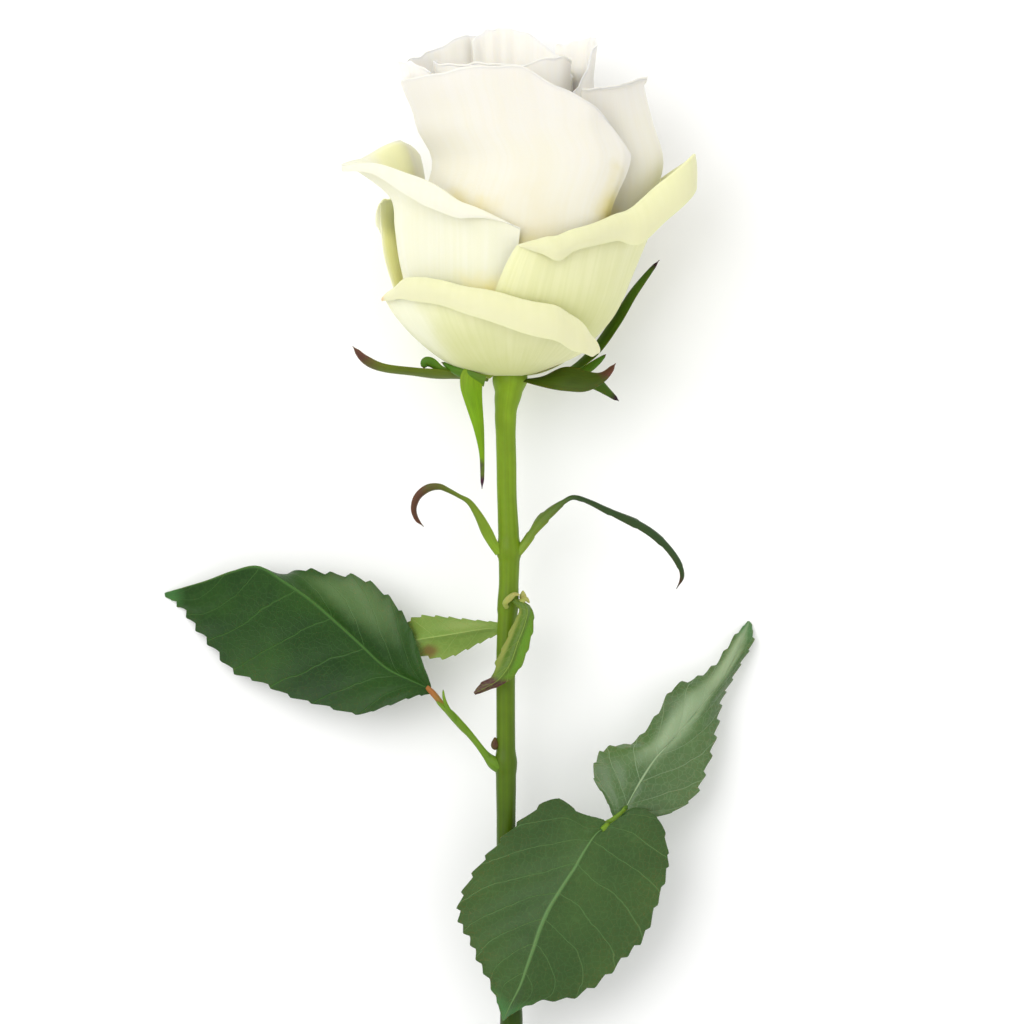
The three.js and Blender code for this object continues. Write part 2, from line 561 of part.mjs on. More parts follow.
const BRACTS = {
  bract_left: [
    [-3.2, -33.6, 19.8, 0.6, 20], [-4.3, -30.8, 20.6, 1.2, 25], [-5.9, -27.7, 21.4, 1, 35],
    [-7.8, -24.9, 22, 0.8, 50], [-9.7, -23.7, 22.3, 0.55, 50], [-12, -22.5, 22.4, 0.6, 40],
    [-13.8, -21.8, 22.4, 0.7, 30], [-16, -22.1, 22.2, 0.8, 20], [-18, -23.7, 21.6, 0.75, 20],
    [-18.8, -26, 20.8, 0.6, 20], [-18.3, -28.1, 20.1, 0.45, 20], [-16.9, -29.7, 19.6, 0.3, 20],
  ],
  bract_right: [
    [3.6, -33.4, 19.6, 0.5, 20], [4.9, -30.8, 20.2, 0.9, 25], [6.5, -28.6, 20.7, 1.2, 30],
    [8.6, -26.6, 21.2, 1.1, 35], [11, -24.8, 21.5, 0.7, 45], [13.2, -23.8, 21.7, 0.65, 50],
    [16.4, -24.8, 21.8, 0.75, 50], [19.8, -26.4, 21.6, 0.85, 45], [23, -27.8, 21.3, 1, 40],
    [26.2, -29.3, 20.9, 1.1, 40], [29.4, -31.4, 20.3, 1, 40], [32.2, -34.1, 19.4, 0.9, 40],
    [34.3, -37.2, 18.4, 0.7, 35], [34.9, -39.8, 17.6, 0.5, 30], [33.7, -42.2, 17, 0.3, 20],
  ],
};

// The whole rose

const rose = new THREE.Group();

function add(name, geometry, color, roughness) {
  const mesh = new THREE.Mesh(geometry, new THREE.MeshStandardMaterial({ color, roughness, metalness: 0 }));
  mesh.name = name;
  rose.add(mesh);
}

add("stem", stemGeometry(), COLOURS.stem, 0.5);
for (const [name, petal] of Object.entries(PETALS)) {
  const colour = GUARDS.has(name) ? COLOURS.guardPetal : COLOURS.petal;
  add(name, sheet(petalGrid(petal)), colour, 0.7);
}
add("bloom_heart", heartGeometry(), COLOURS.petal, 0.7);
for (const [name, path] of Object.entries(SEPALS)) {
  const blade = ribbon(path, 14);
  add(name, LOBES[name] ? fuse(blade, ribbon(LOBES[name], 8)) : blade, COLOURS.sepal, 0.6);
}
for (const [name, path] of Object.entries(BRACTS)) add(name, ribbon(path, 26), COLOURS.sepal, 0.6);
add("leaf_left", leftLeafGeometry(), COLOURS.leaf, 0.5);
add("leaf_right", rightLeafGeometry(), COLOURS.leaf, 0.5);
add("small_leaf_back", smallBackLeafGeometry(), COLOURS.youngLeaf, 0.5);
add("small_leaf_front", smallFrontLeafGeometry(), COLOURS.youngLeaf, 0.5);

// The origin is on the surface, under the middle of the rose
const middle = new THREE.Box3().setFromObject(rose).getCenter(new THREE.Vector3());
rose.position.set(-middle.x, -middle.y, 0);

export default rose;
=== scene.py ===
"""A cut rose with a half-open cream-white bloom, lying on a pale table and seen from straight above.

Pieces are shaped in millimetres, measured from the top of the stem under the bloom: +Y towards the
bloom, +Z up from the table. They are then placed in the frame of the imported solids, in metres.
"""

import logging
import math
from dataclasses import KW_ONLY, dataclass, field, replace
from enum import Enum
from typing import Any, Callable, Mapping, Sequence

import bpy
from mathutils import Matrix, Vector, noise

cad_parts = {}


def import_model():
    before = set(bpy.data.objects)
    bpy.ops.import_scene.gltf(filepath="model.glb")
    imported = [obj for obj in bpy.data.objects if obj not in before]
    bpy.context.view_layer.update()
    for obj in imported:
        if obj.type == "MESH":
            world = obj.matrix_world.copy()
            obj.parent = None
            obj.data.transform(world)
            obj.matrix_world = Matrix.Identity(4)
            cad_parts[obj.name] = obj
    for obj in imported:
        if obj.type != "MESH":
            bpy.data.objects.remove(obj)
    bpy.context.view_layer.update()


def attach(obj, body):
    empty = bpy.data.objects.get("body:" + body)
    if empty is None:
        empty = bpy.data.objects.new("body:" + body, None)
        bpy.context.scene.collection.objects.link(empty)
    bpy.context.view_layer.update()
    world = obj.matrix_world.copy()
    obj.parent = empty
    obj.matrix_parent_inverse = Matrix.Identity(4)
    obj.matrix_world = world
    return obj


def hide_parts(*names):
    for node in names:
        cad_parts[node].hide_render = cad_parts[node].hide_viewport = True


LOG = logging.getLogger("rose")

MM = 0.001
STEM_TOP_PLACE = Vector((9.56, 80.053, 0.0))  # the stem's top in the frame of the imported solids, mm
STEM_TOP_HEIGHT = 21.35  # of the stem's axis under the bloom
STEM_RISE = 0.0834  # of the axis for each millimetre towards the bloom
BLOOM_AXIS_X = 0.5
PETAL_SPACING = 1.15
CLAW_RADIUS = 3.9
FLOOR_GAP = 0.31  # from the table to the middle of a blade that lies on it
TANGENT_STEP = 0.02  # share of a path, to each side, over which its direction is taken
WELD = 1e-7  # distance in metres within which points are one
SENSOR_WIDTH = 36.0  # of the camera, in its own millimetres

# How far the bud sways to the right at each height
BUD_SWAY = ((0, 0), (20, 0.2), (32, 1.8), (43, 4.2), (51, 1.0), (60, -0.8), (75, -1.0))

# The outermost layer of petals, from the claw up: distance from the axis and height
LAYER = (
    (CLAW_RADIUS, 0.6), (8.4, 1.3), (13.8, 3.8), (19.4, 9.0), (22.3, 14.3), (23.2, 20.5),
    (23.2, 28.0), (22.0, 36.0), (20.2, 44.0), (18.8, 52.0), (18.0, 60.0), (17.6, 70.0),
)

Table = Sequence[tuple[float, float]]
Row = Sequence[float]
Place = Callable[[float, float], Vector]
Wall = Callable[[float, float], float]


# Curves


def spline(points: Sequence[Row], s: float) -> list[float]:
    """Follow a smooth curve through points.

    Args:
        points: rows of one length, through which the curve passes.
        s: place on the curve, from 0 to 1.

    Returns:
        The row of values at that place.
    """
    last = len(points) - 1
    place = min(max(s, 0.0), 1.0) * last
    i = min(int(place), last - 1)
    f = place - i
    p1, p2 = points[i], points[i + 1]
    p0 = points[i - 1] if i > 0 else [2 * a - b for a, b in zip(p1, p2)]
    p3 = points[i + 2] if i + 2 <= last else [2 * b - a for a, b in zip(p1, p2)]
    return [
        b + 0.5 * f * (c - a + f * (2 * a - 5 * b + 4 * c - d + f * (3 * (b - c) + d - a)))
        for a, b, c, d in zip(p0, p1, p2, p3)
    ]


def smooth(x: float, low: float, high: float) -> float:
    """Rise smoothly from 0 at low to 1 at high.

    Args:
        x: the value to place.
        low: where the rise starts.
        high: where it ends.

    Returns:
        A value from 0 to 1.
    """
    f = min(max((x - low) / (high - low), 0.0), 1.0)
    return f * f * (3 - 2 * f)


def look_up(table: Table, x: float) -> float:
    """Read a table of pairs with rising first values, easing from one pair to the next.

    Args:
        table: the pairs.
        x: where to read it.

    Returns:
        The value at x.
    """
    i = next((k for k, (start, _) in enumerate(table) if start >= x and k > 0), len(table) - 1)
    (x0, low), (x1, high) = table[i - 1], table[i]
    return low + (high - low) * smooth(x, x0, x1)


def axis_height(y: float) -> float:
    """Give the height of the stem's axis above the table at y."""
    return STEM_TOP_HEIGHT + STEM_RISE * y


def along_path(path: Sequence[Row], s: float) -> tuple[Vector, Vector]:
    """Give the point and the direction of a path.

    Args:
        path: rows that start with x, y and z.
        s: place on the path, from 0 to 1.

    Returns:
        The point and the unit direction there.
    """
    point = Vector(spline(path, s)[:3])
    ahead = Vector(spline(path, min(1.0, s + TANGENT_STEP))[:3])
    behind = Vector(spline(path, max(0.0, s - TANGENT_STEP))[:3])
    return point, (ahead - behind).normalized()


# Finishes

# Sockets of a colour mix
MIX_FIRST, MIX_SECOND, MIX_RESULT = 6, 7, 2

# Scales of the patterns, in features for each metre
BAYS = 200.0  # outlines of patches, 5 mm
DRIFTS = 90.0  # drifts of a petal's colour, 11 mm
CELLS = 2800.0  # cells of a petal's skin, drawn at 0.35 mm so that the velvet shows at all
VEIN_BENDS = 160.0  # bends of a leaf's veins, 6 mm
LEAF_NET = 820.0  # meshes of the net between a leaf's veins, 1.2 mm
LEAF_DRIFTS = 70.0  # drifts of a leaf's colour, 14 mm
MOTTLE = 260.0  # mottling of a stem's skin, 4 mm
PAPER_GRAIN = 900.0  # grain of paper, 1.1 mm

# Steps of a pattern across and along a whole piece
VEIN_FAN = (52.0, 2.4, 0.0)  # veins fan out from a petal's foot, about 0.8 mm apart
FIBRES = (18.0, 5.0, 0.0)  # fibres run along a stem, drawn about 0.5 mm apart


def linear(colour: str) -> tuple[float, float, float, float]:
    """Turn an sRGB hex colour into linear light.

    Args:
        colour: six hex digits after a hash.

    Returns:
        Red, green, blue and alpha.
    """
    parts = [int(colour[i:i + 2], 16) / 255 for i in (1, 3, 5)]
    return (*(c / 12.92 if c <= 0.04045 else ((c + 0.055) / 1.055) ** 2.4 for c in parts), 1.0)


def feed(tree: bpy.types.NodeTree, node: Any, inputs: Mapping[Any, Any]) -> None:
    """Give a node its values and links.

    Args:
        tree: the material's nodes.
        node: the node to feed.
        inputs: by name or number, a value, an output, or a node whose first output is meant.
    """
    for key, value in inputs.items():
        source = value.outputs[0] if isinstance(value, bpy.types.Node) else value
        if isinstance(source, bpy.types.NodeSocket):
            tree.links.new(source, node.inputs[key])
        else:
            node.inputs[key].default_value = source


def add(tree: bpy.types.NodeTree, kind: str, inputs: Mapping[Any, Any], **settings: Any) -> Any:
    """Add one node with its settings, values and links.

    Args:
        tree: the material's nodes.
        kind: the node's type, without the prefix that all shader nodes have.
        inputs: what feeds it.
        settings: the node's own properties.

    Returns:
        The node.
    """
    fresh = tree.nodes.new(f"ShaderNode{kind}")
    for name, value in settings.items():
        setattr(fresh, name, value)
    feed(tree, fresh, inputs)
    return fresh


@dataclass(frozen=True)
class Patch:
    """A soft spot of another colour on a blade.

    Attributes:
        across: place of its middle, as a share across the blade.
        along: place of its middle, as a share along the blade.
        width: half of its size across.
        length: half of its size along.
        colour: its colour.
        strength: share of that colour in the middle.
    """

    across: float
    along: float
    width: float
    length: float
    colour: str
    strength: float


@dataclass(frozen=True)
class Finish:
    """What all finishes share: a material with a shader to dress.

    Attributes:
        name: the material's name.
        patches: soft spots of other colours.
    """

    name: str
    patches: Sequence[Patch] = ()

    def start(self) -> tuple[bpy.types.Material, bpy.types.NodeTree, Any]:
        """Make the material.

        Returns:
            The material, its nodes and its coordinates.
        """
        material = bpy.data.materials.new(self.name)
        material.use_nodes = True
        return material, material.node_tree, add(material.node_tree, "TexCoord", {})

    def layer(self, tree: bpy.types.NodeTree, colour: Any, layers: Sequence[tuple[Any, str]]) -> Any:
        """Lay colours over each other.

        Args:
            tree: the material's nodes.
            colour: the lowest colour.
            layers: from the lowest up, the node with each layer's share, and the layer's colour.

        Returns:
            The colour of all of them.
        """
        for share, shade in layers:
            mixed = add(tree, "Mix", {0: share, MIX_FIRST: colour, MIX_SECOND: linear(shade)},
                        data_type="RGBA")
            colour = mixed.outputs[MIX_RESULT]
        return colour

    def spot(self, tree: bpy.types.NodeTree, place: Any, colour: Any) -> Any:
        """Lay the patches over a colour; their outlines wander by a tenth of the blade.

        Args:
            tree: the material's nodes.
            place: its coordinates.
            colour: the colour without patches.

        Returns:
            The colour with patches.
        """
        bays = add(tree, "TexNoise", {"Vector": place.outputs["Object"], "Scale": BAYS, "Detail": 3.0})
        shift = add(tree, "VectorMath", {0: bays.outputs[1], 1: (0.1, 0.1, 0.1), 2: (-0.05, -0.05, -0.05)},
                    operation="MULTIPLY_ADD")
        spread = add(tree, "VectorMath", {0: place.outputs["UV"], 1: shift})
        flat = add(tree, "VectorMath", {0: spread, 1: (1.0, 1.0, 0.0)}, operation="MULTIPLY")
        layers = []
        for patch in self.patches:
            scale = (1 / patch.width, 1 / patch.length, 0.0)
            centre = (-patch.across / patch.width, -patch.along / patch.length, 0.0)
            away = add(tree, "VectorMath", {0: flat, 1: scale, 2: centre}, operation="MULTIPLY_ADD")
            far = add(tree, "VectorMath", {0: away}, operation="LENGTH")
            share = add(tree, "MapRange", {0: far.outputs["Value"], 1: 1.0, 2: 0.25, 3: 0.0,
                                           4: patch.strength},
                        interpolation_type="SMOOTHSTEP")
            layers.append((share, patch.colour))
        return self.layer(tree, colour, layers)

    def coat(self, material: bpy.types.Material, colour: Any, relief: tuple[Any, float, float],
             values: Mapping[str, Any]) -> bpy.types.Material:
        """Dress the material's shader.

        Args:
            material: the material.
            colour: its colour, with its patches.
            relief: the node with its relief, the relief's strength and its depth in metres.
            values: what is the same all over, for the shader's own sockets.

        Returns:
            The finished material.
        """
        tree = material.node_tree
        height, strength, depth = relief
        bump = add(tree, "Bump", {"Strength": strength, "Distance": depth, "Height": height})
        feed(tree, tree.nodes["Principled BSDF"], {"Base Color": colour, "Normal": bump, **values})
        return material


@dataclass(frozen=True)
class PetalSkin(Finish):
    """Living rose petal: velvety, thin enough for light to soak through, greener at its foot.

    Attributes:
        foot: colour where the petal starts.
        belly: colour of its body.
        rim: colour towards its rim.
        edge: colour of the last millimetre, where the rim is thin and dry.
        low: share of the length where the foot's colour has faded.
        high: share of the length where the rim's colour starts.
        full: share of the length where the rim's colour is complete.
        veins: how strongly the fan of veins shows.
        soak: how deep light soaks in, in millimetres.
        through: share of the light that soaks in.
    """

    _: KW_ONLY
    foot: str
    belly: str
    rim: str
    edge: str
    low: float = 0.5
    high: float = 0.72
    full: float = 0.97
    veins: float = 0.35
    soak: float = 0.6
    through: float = 0.5

    def material(self) -> bpy.types.Material:
        """Build the petal's material.

        Returns:
            The finished material.
        """
        material, tree, place = self.start()
        along = add(tree, "SeparateXYZ", {0: place.outputs["UV"]}).outputs[1]
        blotch = add(tree, "TexNoise", {"Vector": place.outputs["Object"], "Scale": DRIFTS, "Detail": 3.0})
        drift = add(tree, "Math", {0: blotch, 1: 0.24, 2: -0.12}, operation="MULTIPLY_ADD")
        level = add(tree, "Math", {0: along, 1: drift}, operation="ADD")
        rise, top = (
            add(tree, "MapRange", {0: level, 1: start, 2: end}, interpolation_type="SMOOTHSTEP")
            for start, end in ((0.06, self.low), (self.high, self.full))
        )
        last = add(tree, "MapRange", {0: along, 1: 0.975, 2: 1.0})
        fan = add(tree, "VectorMath", {0: place.outputs["UV"], 1: VEIN_FAN}, operation="MULTIPLY")
        vein = add(tree, "TexNoise", {"Vector": fan, "Scale": 1.0, "Detail": 2.0})
        lines = add(tree, "MapRange", {0: vein, 1: 0.38, 2: 0.62})
        fade = add(tree, "MapRange", {0: along, 1: 0.15, 2: 0.95, 3: self.veins, 4: 0.03})
        share = add(tree, "Math", {0: lines, 1: fade}, operation="MULTIPLY")
        colour = self.layer(tree, linear(self.foot), (
            (rise, self.belly), (top, self.rim), (last, self.edge), (share, self.foot),
        ))
        cells = add(tree, "TexNoise", {"Vector": place.outputs["Object"], "Scale": CELLS})
        relief = add(tree, "Math", {0: vein, 1: 1.6, 2: cells}, operation="MULTIPLY_ADD")
        return self.coat(material, self.spot(tree, place, colour), (relief, 0.22, 0.08 * MM), {
            "Roughness": 0.62, "Specular IOR Level": 0.22, "Sheen Weight": 0.12, "Sheen Roughness": 0.5,
            "Subsurface Weight": self.through, "Subsurface Radius": (1.0, 0.92, 0.7),
            "Subsurface Scale": self.soak * MM,
        })


@dataclass(frozen=True)
class LeafSkin(Finish):
    """Rose leaf: satin dark green with paler veins that run from the midrib to the teeth.

    Attributes:
        blade: colour of the blade.
        shade: darker colour that it drifts to.
        vein: colour of the veins.
        tip: colour of the tip.
        tip_start: share of the length where the tip's colour starts.
        veins: number of side veins.
        sweep: how far a side vein runs forward, as a share of the length.
        rough: roughness of the surface.
        gloss: strength of its reflections.
    """

    _: KW_ONLY
    blade: str
    shade: str
    vein: str
    tip: str = "#3c6a33"
    tip_start: float = 0.9
    veins: float = 8.0
    sweep: float = 0.16
    rough: float = 0.5
    gloss: float = 0.28

    def material(self) -> bpy.types.Material:
        """Build the leaf's material.

        Returns:
            The finished material.
        """
        material, tree, place = self.start()
        uv = add(tree, "SeparateXYZ", {0: place.outputs["UV"]})
        here = place.outputs["Object"]
        side = add(tree, "Math", {0: uv, 1: 2.0, 2: -1.0}, operation="MULTIPLY_ADD")
        away = add(tree, "Math", {0: side}, operation="ABSOLUTE")
        wobble = add(tree, "TexNoise", {"Vector": here, "Scale": VEIN_BENDS})
        bend = add(tree, "Math", {0: wobble, 1: 0.30, 2: -0.15}, operation="MULTIPLY_ADD")
        forward = add(tree, "Math", {0: away, 1: -self.sweep * self.veins}, operation="MULTIPLY")
        count = add(tree, "Math", {0: uv.outputs[1], 1: self.veins, 2: forward}, operation="MULTIPLY_ADD")
        phase = add(tree, "Math", {0: count, 1: bend}, operation="ADD")
        fold = add(tree, "Math", {0: phase, 1: 0.5}, operation="PINGPONG")
        side_vein = add(tree, "MapRange", {0: fold, 1: 0.028, 2: 0.0, 3: 0.0, 4: 0.6})
        midrib = add(tree, "MapRange", {0: away, 1: 0.028, 2: 0.008})
        net = add(tree, "TexVoronoi", {"Vector": here, "Scale": LEAF_NET}, feature="DISTANCE_TO_EDGE")
        threads = add(tree, "MapRange", {0: net, 1: 0.08, 2: 0.0, 3: 0.0, 4: 0.16})
        both = add(tree, "Math", {0: side_vein, 1: midrib}, operation="MAXIMUM")
        every = add(tree, "Math", {0: both, 1: threads}, operation="MAXIMUM")
        blotch = add(tree, "TexNoise", {"Vector": here, "Scale": LEAF_DRIFTS, "Detail": 4.0})
        drift = add(tree, "MapRange", {0: blotch, 1: 0.32, 2: 0.68})
        dry = add(tree, "MapRange", {0: uv.outputs[1], 1: self.tip_start, 2: self.tip_start + 0.06})
        colour = self.layer(tree, linear(self.shade), (
            (drift, self.blade), (dry, self.tip), (every, self.vein),
        ))
        relief = add(tree, "Math", {0: every, 1: -1.0, 2: drift}, operation="MULTIPLY_ADD")
        return self.coat(material, self.spot(tree, place, colour), (relief, 0.5, 0.25 * MM), {
            "Roughness": self.rough, "Specular IOR Level": self.gloss,
            "Subsurface Weight": 0.08, "Subsurface Scale": MM,
        })


@dataclass(frozen=True)
class GreenSkin(Finish):
    """Fresh waxy skin of a stem, petiole or sepal, which may turn brown along its length.

    Attributes:
        near: colour at the start of the piece.
        far: colour further along it.
        tip: colour of its dried end.
        hold: share of the length up to which the piece has its first colour.
        turn: share of the length where near has become far.
        tip_start: share of the length where the dried end starts.
        tip_end: share of the length where it is fully dried.
        rough: roughness of the wax.
    """

    _: KW_ONLY
    near: str
    far: str
    tip: str
    hold: float = 0.0
    turn: float = 1.0
    tip_start: float = 0.97
    tip_end: float = 1.0
    rough: float = 0.45

    def material(self) -> bpy.types.Material:
        """Build the green skin's material.

        Returns:
            The finished material.
        """
        material, tree, place = self.start()
        along = add(tree, "SeparateXYZ", {0: place.outputs["UV"]}).outputs[1]
        fibre = add(tree, "VectorMath", {0: place.outputs["UV"], 1: FIBRES}, operation="MULTIPLY")
        grain = add(tree, "TexNoise", {"Vector": fibre, "Scale": 1.0, "Detail": 3.0})
        mottle = add(tree, "TexNoise", {"Vector": place.outputs["Object"], "Scale": MOTTLE, "Detail": 3.0})
        turned = add(tree, "MapRange", {0: along, 1: self.hold, 2: self.turn})
        wander = add(tree, "Math", {0: mottle, 1: 0.34, 2: -0.17}, operation="MULTIPLY_ADD")
        reach = add(tree, "Math", {0: along, 1: wander}, operation="ADD")
        dried = add(tree, "MapRange", {0: reach, 1: self.tip_start, 2: self.tip_end})
        colour = self.layer(tree, linear(self.near), ((turned, self.far), (dried, self.tip)))
        value, speck = (
            add(tree, "MapRange", {0: pattern, 1: 0.3, 2: 0.7, 3: low, 4: high})
            for pattern, low, high in ((grain, 0.86, 1.1), (mottle, 0.92, 1.08))
        )
        both = add(tree, "Math", {0: value, 1: speck}, operation="MULTIPLY")
        final = add(tree, "HueSaturation", {"Value": both, "Color": colour})
        return self.coat(material, final, (grain, 0.35, 0.1 * MM), {
            "Roughness": self.rough, "Specular IOR Level": 0.18,
            "Subsurface Weight": 0.1, "Subsurface Scale": MM,
        })


# Shaping


def select(*pieces: bpy.types.Object) -> None:
    """Select only these pieces and make the first of them active.

    Args:
        pieces: the pieces, or nothing to clear the selection.
    """
    bpy.ops.object.select_all(action="DESELECT")
    for piece in pieces:
        piece.select_set(True)
    if pieces:
        bpy.context.view_layer.objects.active = pieces[0]


def shaped_grid(name: str, columns: int, rows: int, place: Place,
                wall: Wall | None = None) -> bpy.types.Object:
    """Add a grid and move each of its points to its place.

    Args:
        name: the piece's name.
        columns: faces across.
        rows: faces along.
        place: gives the point in millimetres for a share across and a share along.
        wall: gives the share of the full thickness that the piece will have there.

    Returns:
        The grid's object, at the origin, with its place in its mesh.
    """
    select()
    bpy.ops.mesh.primitive_grid_add(x_subdivisions=columns, y_subdivisions=rows, size=2, calc_uvs=True)
    piece = bpy.context.object
    piece.name = name
    piece.data.name = name
    group = piece.vertex_groups.new(name="wall") if wall else None
    for vertex in piece.data.vertices:
        u, v = (vertex.co.x + 1) / 2, (vertex.co.y + 1) / 2
        if group:
            group.add([vertex.index], wall(u, v), "REPLACE")
        vertex.co = (place(u, v) + STEM_TOP_PLACE) * MM
    piece.data.update()
    return piece


def thicken(piece: bpy.types.Object, thickness: float, crease: float = 55.0) -> None:
    """Give a sheet its thickness, half to each side, and smooth it except at its margin.

    Args:
        piece: the sheet.
        thickness: in millimetres.
        crease: angle in degrees above which an edge stays sharp.
    """
    wall = piece.modifiers.new("thickness", "SOLIDIFY")
    wall.thickness = thickness * MM
    wall.offset = 0.0
    wall.use_even_offset = False
    if piece.vertex_groups:
        wall.vertex_group = piece.vertex_groups[0].name
        wall.thickness_vertex_group = 0.0
    select(piece)
    bpy.ops.object.modifier_apply(modifier=wall.name)
    bpy.ops.object.shade_smooth_by_angle(angle=math.radians(crease))


def seal(piece: bpy.types.Object) -> None:
    """Merge the seam and the poles of a tube that was rolled from a grid.

    Args:
        piece: the tube.
    """
    select(piece)
    bpy.ops.object.mode_set(mode="EDIT")
    bpy.ops.mesh.select_all(action="SELECT")
    bpy.ops.mesh.remove_doubles(threshold=WELD)
    bpy.ops.mesh.dissolve_degenerate(threshold=WELD)
    bpy.ops.mesh.normals_make_consistent(inside=False)
    bpy.ops.object.mode_set(mode="OBJECT")
    bpy.ops.object.shade_smooth_by_angle(angle=math.radians(50))


def dress(piece: bpy.types.Object, material: bpy.types.Material) -> bpy.types.Object:
    """Give a piece its only material.

    Args:
        piece: the piece.
        material: its finish.

    Returns:
        The piece.
    """
    piece.data.materials.clear()
    piece.data.materials.append(material)
    return piece


def join(name: str, pieces: Sequence[bpy.types.Object]) -> bpy.types.Object:
    """Make one object of pieces that grow into each other.

    Args:
        name: the whole's name.
        pieces: the pieces, each with its finish.

    Returns:
        The whole.
    """
    select(*pieces)
    if len(pieces) > 1:
        bpy.ops.object.join()
    pieces[0].name = name
    pieces[0].data.name = name
    return pieces[0]


def settle(piece: bpy.types.Object, slot: str, *nodes: str) -> None:
    """Say which solids a piece stands for, and report it.

    Args:
        piece: the finished piece.
        slot: not used.
        nodes: the solids that it stands for.
    """
    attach(piece, "root")
    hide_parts(*nodes)
    LOG.info("%s: %d faces, for %s", piece.name, len(piece.data.polygons), ", ".join(nodes))


@dataclass
class Tube:
    """A round stalk along a path, closed and rounded at both ends.

    Attributes:
        path: rows of x, y, z and radius.
        sides: faces round it.
        rows: faces along it.
        end: share of its length over which each end closes.
    """

    path: Sequence[Row]
    sides: int = 16
    rows: int = 40
    end: float = 0.03

    def point(self, u: float, v: float) -> Vector:
        """Give the point of the skin at a share round it and a share along it."""
        middle, along = along_path(self.path, v)
        side = along.cross(Vector((0, 0, 1))).normalized()
        up = side.cross(along)
        ends = math.sqrt(max(0.0, 1 - max(0.0, 1 - min(v, 1 - v) / self.end) ** 2))
        radius = spline(self.path, v)[3] * ends
        turn = 2 * math.pi * u
        return middle + side * (radius * math.cos(turn)) + up * (radius * math.sin(turn))

    def build(self, name: str) -> bpy.types.Object:
        """Build the stalk.

        Args:
            name: the piece's name.

        Returns:
            The closed tube.
        """
        piece = shaped_grid(name, self.sides, self.rows, self.point)
        seal(piece)
        return piece


# Bloom


# Shares at which a petal's body and its lip are traced; the body's last two lie close, so that the
# rim runs on smoothly
PETAL_STEPS = (0, 0.1, 0.2, 0.3, 0.4, 0.5, 0.6, 0.7, 0.8, 0.9, 0.985, 1)
LIP_STEPS = (0.2, 0.45, 0.72, 1.0)
LAYER_STEP = 0.01  # share of a layer, to each side, over which its slope is taken
HALVINGS = 24  # until a height on a layer is found


